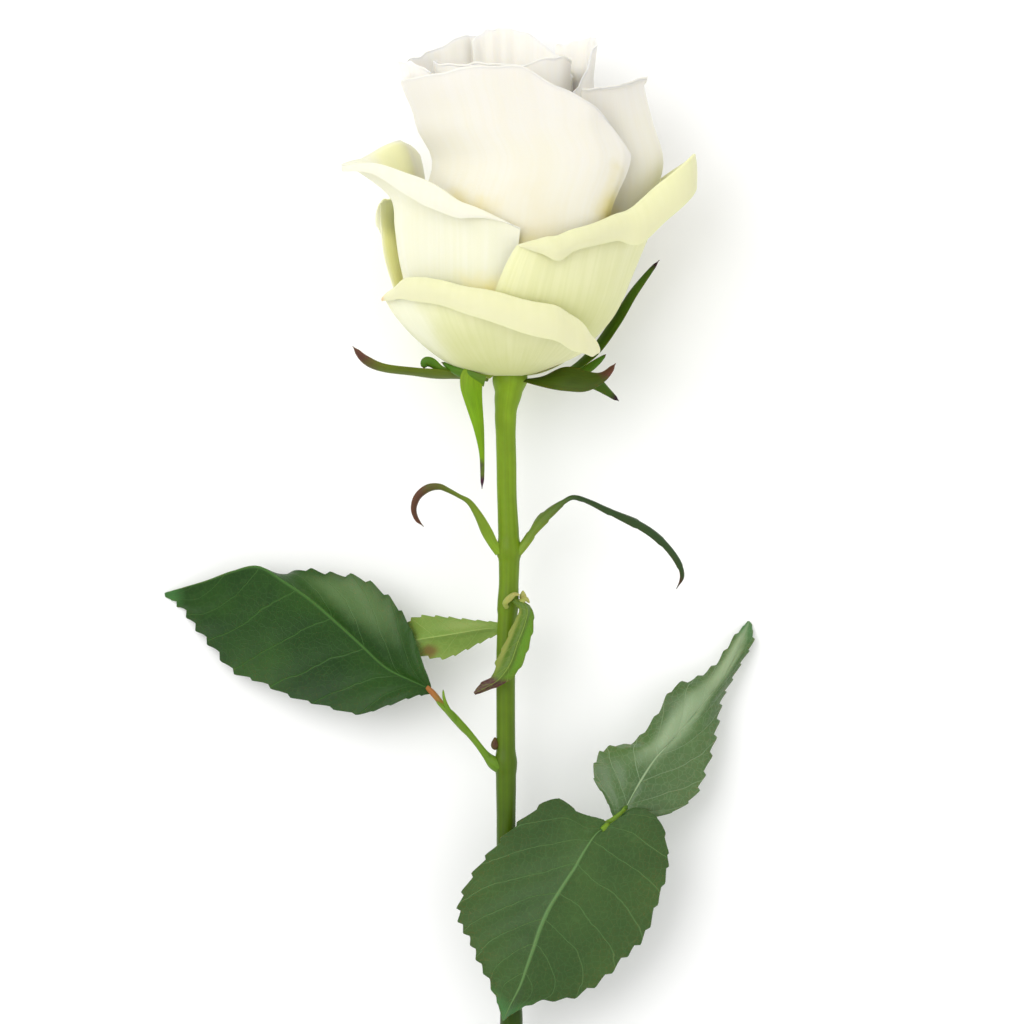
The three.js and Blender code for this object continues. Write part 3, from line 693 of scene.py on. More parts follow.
@dataclass
class Petal:
    """A petal that starts at the receptacle, follows one layer of the bloom and rolls over at its rim.

    Attributes:
        name: the piece.
        node: the solid that it stands for.
        skin: its finish.
        layer: layers of petals outside it.
        rim: from one side to the other, rows of angle round the bloom, the crest's distance from
            the axis, the crest's height, how far the lip goes out and up, and the upper body's bulge.
        claw: share of the petal's angle that it spans at its foot.
        belly: widening of its middle.
        reflex: how late the body bends out to its crest.
        sway: share of the bud's sway that it follows.
        thickness: in millimetres.
        ripple: height of the waves at its rim.
        frill: height of the short uneven waves at its rim.
        curl: how far the lip's edge turns back in, as a share of how far it goes out.
        lean: degrees by which its first side reaches further round towards its foot.
        columns: faces across.
        rows: faces along.
    """

    name: str
    node: str
    skin: PetalSkin
    layer: float
    rim: Sequence[Row]
    claw: float = 0.85
    belly: float = 1.0
    reflex: float = 3.0
    sway: float = 0.0
    thickness: float = 0.42
    ripple: float = 0.16
    frill: float = 0.5
    curl: float = 0.0
    lean: float = 0.0
    columns: int = 84
    rows: int = 66
    paths: dict[float, list[list[float]]] = field(default_factory=dict)

    def layer_point(self, s: float) -> tuple[float, float]:
        """Give the distance from the axis and the height of this petal's layer at a share s of it."""
        depth = self.layer * PETAL_SPACING
        r, h = spline(LAYER, s)
        r0, h0 = spline(LAYER, s - LAYER_STEP)
        r1, h1 = spline(LAYER, s + LAYER_STEP)
        length = math.hypot(r1 - r0, h1 - h0)
        inward = depth * min(1.0, 0.25 + s * 6)
        return r - inward * (h1 - h0) / length, h + depth * (r1 - r0) / length

    def layer_place(self, height: float) -> float:
        """Find the share of the layer at which it reaches a height."""
        low, high = 0.0, 1.0
        for _ in range(HALVINGS):
            middle = (low + high) / 2
            if self.layer_point(middle)[1] < height:
                low = middle
            else:
                high = middle
        return low

    def path(self, u: float) -> list[list[float]]:
        """Trace one column of the petal.

        Args:
            u: share across the petal.

        Returns:
            Rows of angle, distance from the axis and height, from the claw to the lip's edge.
        """
        key = round(u, 5)
        if key not in self.paths:
            stations = [[*row, 0.0][:6] for row in self.rim]
            middle = (stations[0][0] + stations[-1][0]) / 2
            angle, crest, top, out, up, bulge = spline(stations, u)
            end = self.layer_place(top)
            flare = crest - self.layer_point(end)[0]
            rows = []
            for t in PETAL_STEPS:
                r, h = self.layer_point(end * t)
                share = self.claw + (1 - self.claw) * t + (self.belly - 1) * math.sin(math.pi * t)
                swell = flare * t ** self.reflex + bulge * math.sin(math.pi * t ** 3) ** 2
                slant = self.lean * (1 - t) ** 0.64 * (1 - u) ** 3
                rows.append([middle + (angle - middle) * share - slant, r + swell, h])
            for f in LIP_STEPS:
                lift = up * (f ** 1.4 if up < 0 else f)
                reach = out * (math.sin(math.pi / 2 * min(1.0, 1.25 * f)) - self.curl * smooth(f, 0.6, 1.0))
                rows.append([angle, crest + reach, top + lift])
            self.paths[key] = rows
        return self.paths[key]

    def point(self, u: float, v: float) -> Vector:
        """Give the petal's point at a share across it and a share along it."""
        angle, r, h = spline(self.path(u), v)
        wave = smooth(v, 0.4, 0.75) * self.ripple
        r += wave * (math.sin(14.5 * u + self.layer) + 0.5 * math.sin(33 * u + 2 * self.layer))
        h += wave * (0.9 * math.sin(11 * u + 3 * self.layer) + 0.5 * math.sin(41 * u + self.layer))
        frill = self.frill * smooth(v, 0.42, 0.74)
        level = 2.5 * min(v, 0.7)
        r += frill * noise.noise(Vector((u * self.columns / 9, level, 3.1 * self.layer)))
        h += 0.6 * frill * noise.noise(Vector((u * self.columns / 7, level, 3.1 * self.layer + 9)))
        turn = math.radians(angle)
        x = BLOOM_AXIS_X + self.sway * look_up(BUD_SWAY, h) + r * math.sin(turn)
        return Vector((x, h, max(axis_height(h) + r * math.cos(turn), FLOOR_GAP)))

    def wall(self, u: float, v: float) -> float:
        """Give the petal's share of its thickness: it thins out towards its rim."""
        return 1 - 0.68 * max(smooth(v, 0.55, 1.0), smooth(abs(2 * u - 1), 0.8, 1.0))

    def build(self) -> bpy.types.Object:
        """Build the petal and give it its finish.

        Returns:
            The petal.
        """
        piece = shaped_grid(self.name, self.columns, self.rows, self.point, self.wall)
        thicken(piece, self.thickness)
        return dress(piece, self.skin.material())


GUARD_SKIN = PetalSkin("rose petal, green-cream guard", foot="#c6ca80", belly="#e3e3b6", rim="#dad8b0",
                       edge="#d8d8ac", low=0.62, high=0.6, veins=0.3)
FRONT_SKIN = replace(GUARD_SKIN, name="rose petal, green-cream guard with an amber corner", patches=(
    Patch(0.0, 0.92, 0.09, 0.2, "#d8a060", 0.8), Patch(0.14, 0.5, 0.2, 0.3, "#f0f0dc", 0.6),
))
SIDE_SKIN = PetalSkin("rose petal, cream side", foot="#ced086", belly="#e6e5d0", rim="#e2dfce",
                      edge="#e2e0ca", veins=0.15, patches=(
                          Patch(0.24, 0.64, 0.14, 0.2, "#eeeebc", 0.8),
                          Patch(0.93, 0.38, 0.2, 0.16, "#ecdf92", 0.85),
                      ))
BACK_SKIN = PetalSkin("rose petal, yellow-green back", foot="#ecef90", belly="#fdfdb8", rim="#fcfccc",
                      edge="#f6f6d6", soak=2.0, through=1.0)
BUD_SKIN = PetalSkin("rose petal, cream-white bud", foot="#d8c880", belly="#e2dfd0", rim="#e2dfd7",
                     edge="#e4e2d9", low=0.52, high=0.46, full=0.7, veins=0.08, soak=0.25)
# The bud's front petal: its first two patches paint warm yellow shade into the crease just above the left
# guard's crest, and its third paints the shaded slit at its right edge.
HEAD_SKIN = replace(BUD_SKIN, name="rose petal, cream-white bud with yellow folds", patches=(
    Patch(0.28, 0.445, 0.2, 0.05, "#e2d288", 0.45), Patch(0.55, 0.365, 0.3, 0.06, "#e0d690", 0.4),
    Patch(1.0, 0.515, 0.22, 0.115, "#cfc270", 0.85),
))
# The right petal: its patch paints dark yellow shade on its left edge, where it lies in the slit behind the
# bud's front petal.
POINTED_SKIN = replace(BUD_SKIN, name="rose petal, cream-white bud with a yellow edge", patches=(
    Patch(0.06, 0.39, 0.2, 0.15, "#e8d668", 0.95),
))
# Inner petals: a copy of the bud's skin that is painted lighter, to offset the shade that falls on these
# sideways-facing petals.
INNER_SKIN = replace(BUD_SKIN, name="rose petal, white inner, painted lighter against its shade", foot="#e8d894", belly="#f2efe6",
                     rim="#efede7", edge="#efede7")


PETALS = (
    Petal("front_guard_petal", "petal_front_guard", FRONT_SKIN, 0, (
        (-88, 24.9, 15.8, 0.7, -0.6), (-69, 24.5, 17.9, 1, -2.6), (-51, 24.5, 19.8, 1.2, -4.6),
        (-28, 24.7, 18.4, 1.4, -4.8), (-5, 24.8, 16.4, 1.5, -6.2), (18, 24.6, 14, 1.4, -6.9),
        (31, 24, 12, 1.2, -7), (43, 22.9, 8.8, 0.9, -4.6), (51, 21.9, 6.4, 0.7, -1.6),
    ), curl=0.3),
    Petal("right_guard_petal", "petal_right_guard", GUARD_SKIN, 1.2, (
        (4, 23.6, 26.2, 0.3, -0.4), (13, 24.2, 27, 1.2, -2.6), (21, 24.4, 27.8, 1.8, -4.8),
        (32, 24.6, 29, 1.6, -4), (49, 25.8, 31.4, 1.6, -4.8), (60, 28, 33.8, 1.8, -7.4),
        (70, 32, 38.8, 1.6, -7.4), (81, 37, 44.2, 0.6, -6.8, 1), (94, 33.5, 42, 0.6, -2),
        (108, 26.6, 36, 0.4, -0.4),
    ), reflex=4.5, belly=1.12, curl=0.2, lean=24),
    Petal("left_guard_petal", "petal_left_guard", SIDE_SKIN, 2.5, (
        (-129, 24.4, 45.4, 0.2, 0.4, 3), (-120, 24.4, 47, 0.2, 0.4, 2), (-108, 24.4, 47.2, 0.3, 0.2, 2),
        (-96, 27.4, 45, 0.4, -0.4, 2.2), (-90, 29.7, 43.8, 0.3, -0.8, 2.2),
        (-83, 33.4, 42.4, 0.3, -1.2, 2.2), (-67, 29, 42.2, 0.8, -2, 2.2), (-48, 25.6, 39.6, 1.2, -4.2),
        (-38, 24.6, 37.8, 1.2, -4.6), (-25, 23.6, 34.8, 1, -3.2), (-10, 22.7, 32.2, 0.5, -0.9),
        (5, 22.3, 29.2, 0.1, 0.3),
    ), reflex=14, curl=0.2, columns=110),
    Petal("left_back_guard_petal", "petal_left_back_guard", BACK_SKIN, 1.5, (
        (-205, 22.2, 33, 0.3, 0.4), (-180, 21.6, 35.5, 0.4, 0.3), (-150, 23, 36.5, 0.7, -0.6),
        (-120, 24.2, 36.4, 1.1, -5.2), (-101, 24.4, 35.8, 1.2, -7.4, 0.3), (-90, 26, 34.8, 0.8, -4, 0.8),
    )),
    Petal("back_guard_petal", "petal_back_guard", GUARD_SKIN, 0, (
        (118, 22.4, 14.2, 0.4, 0.3), (132, 23.9, 19.6, 0.8, 0.4), (156, 23.9, 23, 0.5, 0.7),
        (185, 23.9, 24.6, 0.1, 0.8), (215, 24, 22.6, 0.5, 0.7), (240, 24.3, 18.6, 0.8, 0.4),
        (260, 23, 13.4, 0.4, 0.3),
    ), ripple=0.05),
    Petal("right_back_guard_petal", "petal_right_back_guard", SIDE_SKIN, 2.8, (
        (143, 20.4, 29, 0.3, 0.2), (152, 20.4, 34, 0.4, -0.2), (166, 20.6, 38.6, 0.5, -0.6),
        (186, 20.4, 37.4, 0.5, -0.4), (205, 20.4, 32, 0.3, 0.2),
    ), reflex=9, ripple=0.1),
    Petal("right_petal", "petal_right", POINTED_SKIN, 3, (
        (44, 20.2, 56.4, 0.1, 0.5, 0.4), (55, 21.6, 57, 0.1, 0.5, 1.4), (66, 23.8, 57.8, 0.1, 0.5, 5.4),
        (78, 26, 58.8, 0.1, 0.6, 8.6), (89, 27.2, 59.4, 0.2, 0.6, 9.4), (97, 26.8, 58.8, 0.12, 0.4, 8.6),
        (108, 25.6, 57.4, 0.12, 0.4, 6), (121, 23.8, 56.4, 0.12, 0.4, 3.4),
        (136, 21.6, 55.4, 0.12, 0.4, 1.2),
    ), reflex=5, claw=0.35, belly=0.85, frill=0.6),
    Petal("back_middle_petal", "petal_back_middle", INNER_SKIN, 3.9, (
        (166, 17, 43.8, 0.2, 0.5), (184, 17, 46.8, 0.12, 0.6), (205, 16.8, 47, 0.12, 0.6),
        (222, 16.4, 45, 0.2, 0.5), (234, 15.8, 41.8, 0.1, 0.4),
    ), frill=1.1),
    Petal("bud_front_petal", "petal_bud_front", HEAD_SKIN, 4.1, (
        (-100, 20.4, 56.6, 0.12, 0.4), (-82, 21, 58.4, 0.12, 0.5), (-55, 20, 59, 0.12, 0.5),
        (-30, 19.2, 60.4, 0.12, 0.6), (-11, 19, 61.2, 0.12, 0.5), (9, 18.8, 60.8, 0.12, 0.5),
        (27, 20.8, 57, 0.12, 0.4), (41, 23.6, 53.4, 0.1, 0.4), (51, 23.9, 49.4, 0, 0.4, 0.6),
        (57, 23.6, 44.2, -0.2, 0.3, 0),
    ), claw=0.76, sway=1, columns=110, frill=0.45),
    Petal("bud_left_petal", "petal_bud_left", INNER_SKIN, 5.4, (
        (-163, 16.8, 68.4, 0.12, 0.4), (-148, 17.4, 68.2, 0.12, 0.5), (-130, 18.4, 65.6, 0.12, 0.5),
        (-110, 19.8, 63.3, 0.12, 0.5), (-92, 21.2, 62.8, 0.12, 0.4), (-76, 19.6, 62.4, 0.12, 0.6),
        (-60, 17.8, 60, 0.2, 0.5),
    ), sway=1, frill=1.1),
    Petal("bud_right_petal", "petal_bud_right", INNER_SKIN, 5.2, (
        (44, 17, 54.6, 0.12, 0.4), (60, 17.8, 59.6, 0.12, 0.3), (78, 17.8, 65, 0.12, 0.3),
        (97, 18.3, 67.6, 0.12, 0.4), (112, 17.4, 67.8, 0.12, 0.4), (128, 16.9, 67, 0.12, 0.4),
        (143, 16.7, 66, 0.12, 0.4),
    ), sway=1, frill=1.1),
    Petal("bud_back_petal", "petal_bud_back", INNER_SKIN, 6.6, (
        (112, 13.8, 60, 0.2, 0.4), (130, 14.6, 63, 0.12, 0.4), (146, 15.6, 66.2, 0.12, 0.4),
        (160, 16.2, 68.6, 0.12, 0.4), (175, 16.4, 69.8, 0.12, 0.4), (188, 16.2, 69.8, 0.12, 0.4),
        (198, 15.6, 69, 0.12, 0.4), (207, 15, 67.4, 0.2, 0.4),
    ), sway=1, frill=1.1),
)


@dataclass
class Bloom:
    """The layers of petals and the small petals wound in the heart.

    Attributes:
        petals: the twelve that have a solid each.
        wound: number of small petals in the heart.
        turn: degrees from one small petal to the next.
        core: profile of the closed bud in the middle, as distance from the axis and height.
    """

    petals: Sequence[Petal] = PETALS
    wound: int = 8
    turn: float = 137.5
    core: Sequence[Row] = (
        (0, 8.4), (3, 8.4), (8.6, 11.4), (11.6, 17.4), (12, 24), (10.4, 34), (8, 46), (4.6, 53),
        (1.5, 56), (0, 56.6),
    )

    def core_point(self, u: float, v: float) -> Vector:
        """Give the point of the closed bud at a share round it and a share up it."""
        r, h = spline(self.core, v)
        turn = -2 * math.pi * u
        x = BLOOM_AXIS_X + look_up(BUD_SWAY, h) + max(r, 0) * math.sin(turn)
        return Vector((x, h, axis_height(h) + max(r, 0) * math.cos(turn)))

    def wound_petal(self, number: int) -> bpy.types.Object:
        """Build one small petal of the heart.

        Args:
            number: its place, from the outside in.

        Returns:
            The petal.
        """
        middle = -75 + number * self.turn
        crest = 13.6 - 1.25 * number
        top = (62.4, 63.0, 61.8, 62.0, 60.6, 60.4, 59.4, 58.8)[number]
        rim = [(middle + angle, crest + r, top + h, 0.2, 0.5) for angle, r, h in (
            (-78, -1.2, -7), (-42, 0.2, -1.2), (-12, 0.9, 0.2), (18, 0.4, -0.4), (50, 0, -1.6),
            (80, -1.0, -7),
        )]
        petal = Petal(f"heart_{number}", "bloom_heart", INNER_SKIN, 7.9 + 0.85 * number, rim, claw=0.6,
                      sway=1,
                      thickness=0.35, ripple=0.22, columns=56, rows=44)
        return petal.build()

    def build(self) -> None:
        """Build every petal and the heart."""
        for petal in self.petals:
            slot = "guard_petals" if "guard" in petal.name else "bud_petals"
            settle(petal.build(), slot, petal.node)
        core = shaped_grid("heart_core", 40, 40, self.core_point)
        seal(core)
        dress(core, INNER_SKIN.material())
        heart = join("bloom_heart_petals", [core, *(self.wound_petal(n) for n in range(self.wound))])
        settle(heart, "bud_petals", "bloom_heart")


# Calyx, bracts


class Edge(Enum):
    """How the margin of a narrow blade is shaped."""

    PLAIN = "plain"
    TOOTHED = "toothed"


@dataclass
class Ribbon:
    """A narrow blade that follows a path and ends in a point.

    Attributes:
        path: rows of x, y, z, half width and turn; a turn of 0 lies flat, 90 stands on its edge.
        keel: how far its middle lies below its margins.
        edge: how its margin is shaped.
        teeth: number of teeth along a toothed margin.
        point_start: share of its length where its point starts.
        thickness: in millimetres.
        columns: faces across.
        rows: faces along.
    """

    path: Sequence[Row]
    keel: float = 0.35
    edge: Edge = Edge.PLAIN
    teeth: int = 9
    point_start: float = 0.93
    thickness: float = 0.36
    columns: int = 12
    rows: int = 72

    def point(self, u: float, v: float) -> Vector:
        """Give the blade's point at a share across it and a share along it."""
        middle, along = along_path(self.path, v)
        _, _, _, width, turn = spline(self.path, v)
        level = Vector((along.y, -along.x, 0)).normalized()
        raised = level.cross(along).normalized()
        side = level * math.cos(math.radians(turn)) + raised * math.sin(math.radians(turn))
        across = 2 * u - 1
        width = max(width, 0.06) * (1 - 0.85 * smooth(v, self.point_start, 1.0))
        if self.edge is Edge.TOOTHED:
            width *= 1 + 0.22 * abs(across) ** 3 * ((v * self.teeth) % 1 - 0.4)
        lift = self.keel * min(1.0, width) * (across * across - 0.5)
        return middle + side * (across * width) - side.cross(along) * lift

    def wall(self, u: float, v: float) -> float:
        """Give the blade's share of its thickness: it thins out towards its margins and its tip."""
        return (1 - 0.6 * smooth(abs(2 * u - 1), 0.3, 1.0)) * (1 - 0.4 * smooth(v, 0.7, 1.0))

    def build(self, name: str, skin: GreenSkin) -> bpy.types.Object:
        """Build the blade.

        Args:
            name: the piece's name.
            skin: its finish.

        Returns:
            The blade.
        """
        piece = shaped_grid(name, self.columns, self.rows, self.point, self.wall)
        thicken(piece, self.thickness)
        return dress(piece, skin.material())


SEPAL_SKIN = GreenSkin("rose sepal, dark green with a dried tip", near="#40540a", far="#3a4c0c",
                       tip="#563828",
                       tip_start=0.74, tip_end=0.84, rough=0.55)
PALE_SKIN = GreenSkin("rose sepal, pale underside with a dried tip", near="#566a0c", far="#606e1c",
                      tip="#54382a",
                      tip_start=0.66, tip_end=0.84, rough=0.55)
SHARP_SKIN = GreenSkin("rose sepal, green with a dark point", near="#4e7410", far="#39560e", tip="#2c1622",
                       tip_start=0.86, tip_end=0.95, rough=0.55)
HANGING_SKIN = GreenSkin("rose sepal, pale green with a purple point", near="#84942e", far="#6c940a",
                         tip="#3a1f30",
                         turn=0.4, tip_start=0.80, tip_end=0.9, rough=0.55)
LOBE_SKIN = GreenSkin("rose sepal, leafy lobe", near="#56761a", far="#3c6a0c", tip="#4a3018", tip_start=0.9)
BRACT_SKIN = GreenSkin("rose bract, green turning brown", near="#7c9c24", far="#56661e", tip="#563a28",
                       turn=0.5, tip_start=0.5, tip_end=0.7)
DARK_BRACT_SKIN = GreenSkin("rose bract, dark green outer part", near="#7a9430", far="#2e4420",
                            tip="#3c3020",
                            turn=0.42, tip_start=0.9)


@dataclass
class Sepal:
    """A sepal or bract with its side lobes.

    Attributes:
        name: the piece.
        node: the solid that it stands for.
        skin: its finish.
        blade: the main blade.
        lobes: leafy lobes at its side.
    """

    name: str
    node: str
    skin: GreenSkin
    blade: Ribbon
    lobes: Sequence[Ribbon] = ()

    def build(self) -> None:
        """Build the sepal, with its lobes grown into it."""
        pieces = [self.blade.build(self.name, self.skin)]
        pieces += [lobe.build(f"{self.name}_lobe_{i}", LOBE_SKIN) for i, lobe in enumerate(self.lobes)]
        settle(join(self.name, pieces), "sepals", self.node)


SEPALS = (
    Sepal("left_sepal", "sepal_left", PALE_SKIN, Ribbon((
        (-4.1, -0.4, 21.4, 1.4, 90), (-9, 0.2, 22.2, 2.2, 78), (-14, 0.6, 23, 2.2, 66),
        (-19, 1.1, 23.6, 1.9, 66), (-25, 1.9, 24, 1.6, 60), (-28.6, 3.6, 24.2, 1.1, 40),
        (-31, 6.3, 24.4, 0.3, 30),
    )), (Ribbon((
        (-11.8, 1, 23.4, 0.8, 50), (-13.6, 1.8, 23.9, 0.8, 30), (-15.3, 3, 24.2, 1, 20),
        (-16.5, 3.1, 24.2, 0.9, 10), (-16.8, 1.9, 24.1, 0.5, 10),
    ), rows=40),)),
    Sepal("hanging_sepal", "sepal_hanging", HANGING_SKIN, Ribbon((
        (-3.2, 0.4, 24.2, 1.2, 40), (-5, 1.2, 25.2, 1.8, 24), (-7, 0.4, 26.4, 2.2, 10),
        (-7.3, -1.6, 27, 2.2, 4), (-6.9, -4.4, 27.3, 1.8, 6), (-6.3, -7.4, 27.4, 1.4, 10),
        (-5.7, -10.6, 27.4, 1, 15), (-5.2, -15, 27, 0.55, 20), (-5.1, -19.4, 26.4, 0.4, 20),
        (-5.2, -22.2, 25.8, 0.3, 20),
    )), (Ribbon((
        (-4.6, -0.8, 26.8, 1.2, 30), (-8, 0.3, 26.4, 1.2, 30), (-11, 1.6, 24.9, 0.8, 30),
        (-13.2, 3.1, 23.3, 0.3, 30),
    ), rows=40),)),
    Sepal("right_sepal", "sepal_right", SEPAL_SKIN, Ribbon((
        (3.8, -0.5, 23.6, 1.6, 86), (7.4, -0.4, 25.4, 2.2, 55), (11.6, -0.2, 26.8, 2.6, 20),
        (15.4, -0.7, 27.8, 2.2, 20), (18.8, 0.2, 28.2, 1.3, 40), (21.5, 2.8, 28, 0.4, 40),
    ))),
    Sepal("low_right_sepal", "sepal_low_right", SHARP_SKIN, Ribbon((
        (4.5, -0.5, 20.4, 1.2, 88), (9, 0, 19.2, 1.9, 80), (13.6, 0.6, 18.6, 1.9, 50),
        (17.4, -0.9, 18.4, 1.4, 20), (20, -2.8, 18.2, 0.8, 20), (22.2, -4.6, 18, 0.3, 20),
    )), (Ribbon((
        (13.4, 0.6, 19.2, 0.7, 20), (15.8, 1.8, 20, 0.9, 20), (17.8, 3.2, 20.6, 0.7, 20),
        (19.6, 4.7, 21, 0.2, 20),
    ), rows=40),)),
    Sepal("upper_right_sepal", "sepal_upper_right", SHARP_SKIN, Ribbon((
        (2.6, -0.5, 17.5, 1.2, 90), (6.6, -0.2, 13.8, 2, 88), (11.4, 1.2, 11.2, 2.1, 80),
        (16.9, 5.2, 11, 1.9, 60), (21.4, 11.2, 12.8, 1.6, 50), (25, 17, 16.4, 1.2, 45),
        (28.2, 21.2, 18, 0.7, 40), (30.3, 23.6, 18.8, 0.2, 30),
    ))),
)

BRACTS = (
    Sepal("left_bract", "bract_left", BRACT_SKIN, Ribbon((
        (-1.7, -35, 19.6, 0.9, 10), (-3, -33.2, 20, 1, 20), (-4.3, -30.8, 20.6, 1.2, 25),
        (-5.9, -27.7, 21.4, 1, 35), (-7.8, -24.9, 22, 0.8, 50), (-9.7, -23.7, 22.3, 0.55, 50),
        (-12, -22.5, 22.4, 0.6, 40), (-13.8, -21.8, 22.4, 0.7, 30), (-16, -22.1, 22.2, 0.8, 20),
        (-18, -23.7, 21.6, 0.75, 20), (-18.8, -26, 20.8, 0.6, 20), (-18.3, -28.1, 20.1, 0.45, 20),
        (-16.9, -29.7, 19.6, 0.3, 20),
    ), keel=0.5)),
    Sepal("right_bract", "bract_right", DARK_BRACT_SKIN, Ribbon((
        (1.9, -35, 19.4, 0.9, 10), (3.4, -33, 19.8, 0.9, 20), (4.9, -30.8, 20.2, 0.9, 25),
        (6.5, -28.6, 20.7, 1.2, 30), (8.6, -26.6, 21.2, 1.1, 35), (11, -24.8, 21.5, 0.7, 45),
        (13.2, -23.8, 21.7, 0.65, 50), (16.4, -24.8, 21.8, 0.75, 50), (19.8, -26.4, 21.6, 0.85, 45),
        (23, -27.8, 21.3, 1, 40), (26.2, -29.3, 20.9, 1.1, 40), (29.4, -31.4, 20.3, 1, 40),
        (32.2, -34.1, 19.4, 0.9, 40), (34.3, -37.2, 18.4, 0.7, 35), (34.9, -39.8, 17.6, 0.5, 30),
        (33.7, -42.2, 17, 0.3, 20),
    ), keel=0.5, edge=Edge.TOOTHED)),
)


@dataclass
class Calyx:
    """The sepals under the bloom and the bracts on the upper node.

    Attributes:
        blades: all of them.
    """

    blades: Sequence[Sepal] = (*SEPALS, *BRACTS)

    def build(self) -> None:
        """Build every sepal and bract."""
        for blade in self.blades:
            blade.build()


# Stem

STEM_SKIN = GreenSkin("rose stem, waxy green", near="#2c4602", far="#7c9a1c", tip="#7d9e40", hold=0.52,
                      turn=0.98,
                      tip_start=1.1, tip_end=1.2, rough=0.4)
HUSK_SKIN = GreenSkin("dried stipule, pale brown", near="#8c9a46", far="#a9a45e", tip="#7a6238")
NODE_BUD_SKIN = GreenSkin("sleeping bud, dark red-brown", near="#6d6a2c", far="#4a2c22", tip="#3a1f1c")


@dataclass
class Stem:
    """The stem with its swollen nodes, sleeping buds and cut end.

    Attributes:
        profile: half of its thickness along y, from the cut end up.
        wander: where its middle goes, left or right, along y.
        scars: y of the rings at its nodes.
        top: y of its hidden upper end, inside the bloom.
        slant: slope of the cut end.
        cap: share of its rows at each end that close it.
        ring: how far a node's ring stands out.
        ring_width: half of a ring's width along y.
    """

    profile: Table = (
        (-229.4, 2.2), (-206, 2.2), (-201, 2.7), (-197, 2.2), (-164, 2.15), (-159, 2.7), (-155, 2.15),
        (-129, 2.3), (-124, 2.1), (-108, 2.05), (-104, 2.6), (-100, 2), (-88, 1.9), (-80, 2), (-77, 2.25),
        (-74, 1.9), (-62, 1.9), (-48, 1.95), (-45, 2.15), (-41, 2), (-37, 2.1), (-34.4, 2.55),
        (-31.5, 2.1), (-24, 1.95), (-12, 2), (-7, 2.2), (-3.2, 2.75), (-0.6, 3.5), (0, 3.5), (2, 3.4),
        (8, 3.0),
    )
    wander: Table = (
        (-230, 1.6), (-128, 0.7), (-90, -0.4), (-60, -0.5), (-36, 0.2), (-20, -0.3), (-8, -0.5), (0, 0.4),
        (20, 0.5),
    )
    scars: Sequence[float] = (-202.6, -160.6, -105.4, -78.4, -46.4, -35.6)
    top: float = 8.0
    slant: float = 0.5
    cap: float = 0.012
    ring: float = 0.13
    ring_width: float = 0.35

    def point(self, u: float, v: float) -> Vector:
        """Give the point of the skin at a share round it and a share along it."""
        bottom = self.profile[0][0]
        share = smooth(v, 0.0, self.cap) if v < self.cap else 1.0
        if v > 1 - self.cap:
            share = 1 - smooth(v, 1 - self.cap, 1.0)
        y = bottom + (self.top - bottom) * min(max((v - self.cap) / (1 - 2 * self.cap), 0.0), 1.0)
        turn = -2 * math.pi * u
        radius = look_up(self.profile, y)
        for scar in self.scars:
            rise = self.ring * math.exp(-((y - scar) / self.ring_width) ** 2)
            radius += rise * (0.6 + 0.4 * math.sin(turn + scar))
        radius *= 1 + 0.018 * math.cos(5 * turn + 0.03 * y) + 0.012 * math.sin(0.21 * y)
        x, z = share * radius * math.sin(turn), share * radius * math.cos(turn)
        lean = self.slant * x if y < bottom + 0.4 else 0.0
        return Vector((look_up(self.wander, y) + x, y + lean, axis_height(y) + z))

    def bud(self, name: str, centre: Row, size: Row, skin: GreenSkin) -> bpy.types.Object:
        """Build a sleeping bud or a bump on the stem.

        Args:
            name: the piece's name.
            centre: its middle, in millimetres.
            size: half of its size along x, y and z.
            skin: its finish.

        Returns:
            The bud.
        """
        select()
        bpy.ops.mesh.primitive_uv_sphere_add(segments=20, ring_count=12, radius=1, calc_uvs=True)
        piece = bpy.context.object
        piece.name = name
        for vertex in piece.data.vertices:
            x, y, z = vertex.co
            taper = 1 - 0.45 * smooth(y, -0.4, 1.0)
            point = Vector((centre[0] + size[0] * x * taper, centre[1] + size[1] * y,
                            centre[2] + size[2] * z * taper))
            vertex.co = (point + STEM_TOP_PLACE) * MM
        bpy.ops.object.shade_smooth()
        return dress(piece, skin.material())

    def build(self) -> None:
        """Build the stem with its buds and dried stipules."""
        piece = shaped_grid("stem_skin", 40, 460, self.point)
        seal(piece)
        dress(piece, STEM_SKIN.material())
        buds = [
            self.bud("leaf_axil_bud", (-2.6, -73.2, 15.9), (0.9, 1.3, 0.9), NODE_BUD_SKIN),
            self.bud("upper_axil_bud", (3.0, -43.6, 18.6), (0.8, 1.1, 0.8), HUSK_SKIN),
            self.bud("low_axil_bud", (2.9, -157.2, 8.6), (0.8, 1.3, 0.8), NODE_BUD_SKIN),
        ]
        husks = [
            Ribbon(((-0.2, -46, 19.9, 0.4, 10), (-0.6, -45, 20.6, 0.55, 30), (0.3, -44, 21, 0.6, 10),
                    (1.3, -43.2, 20.9, 0.5, 40), (2.4, -43.4, 20.8, 0.15, 30)),
                    rows=36).build("front_husk", HUSK_SKIN),
            Ribbon(((1.6, -45.4, 20.2, 0.4, 10), (2.7, -44.6, 20.6, 0.6, 40), (3.6, -44.2, 20.4, 0.45, 10),
                    (4.3, -45, 20, 0.15, 10)), rows=36).build("side_husk", HUSK_SKIN),
        ]
        settle(join("stem_skin", [piece, *buds, *husks]), "stem", "stem")


# Leaves


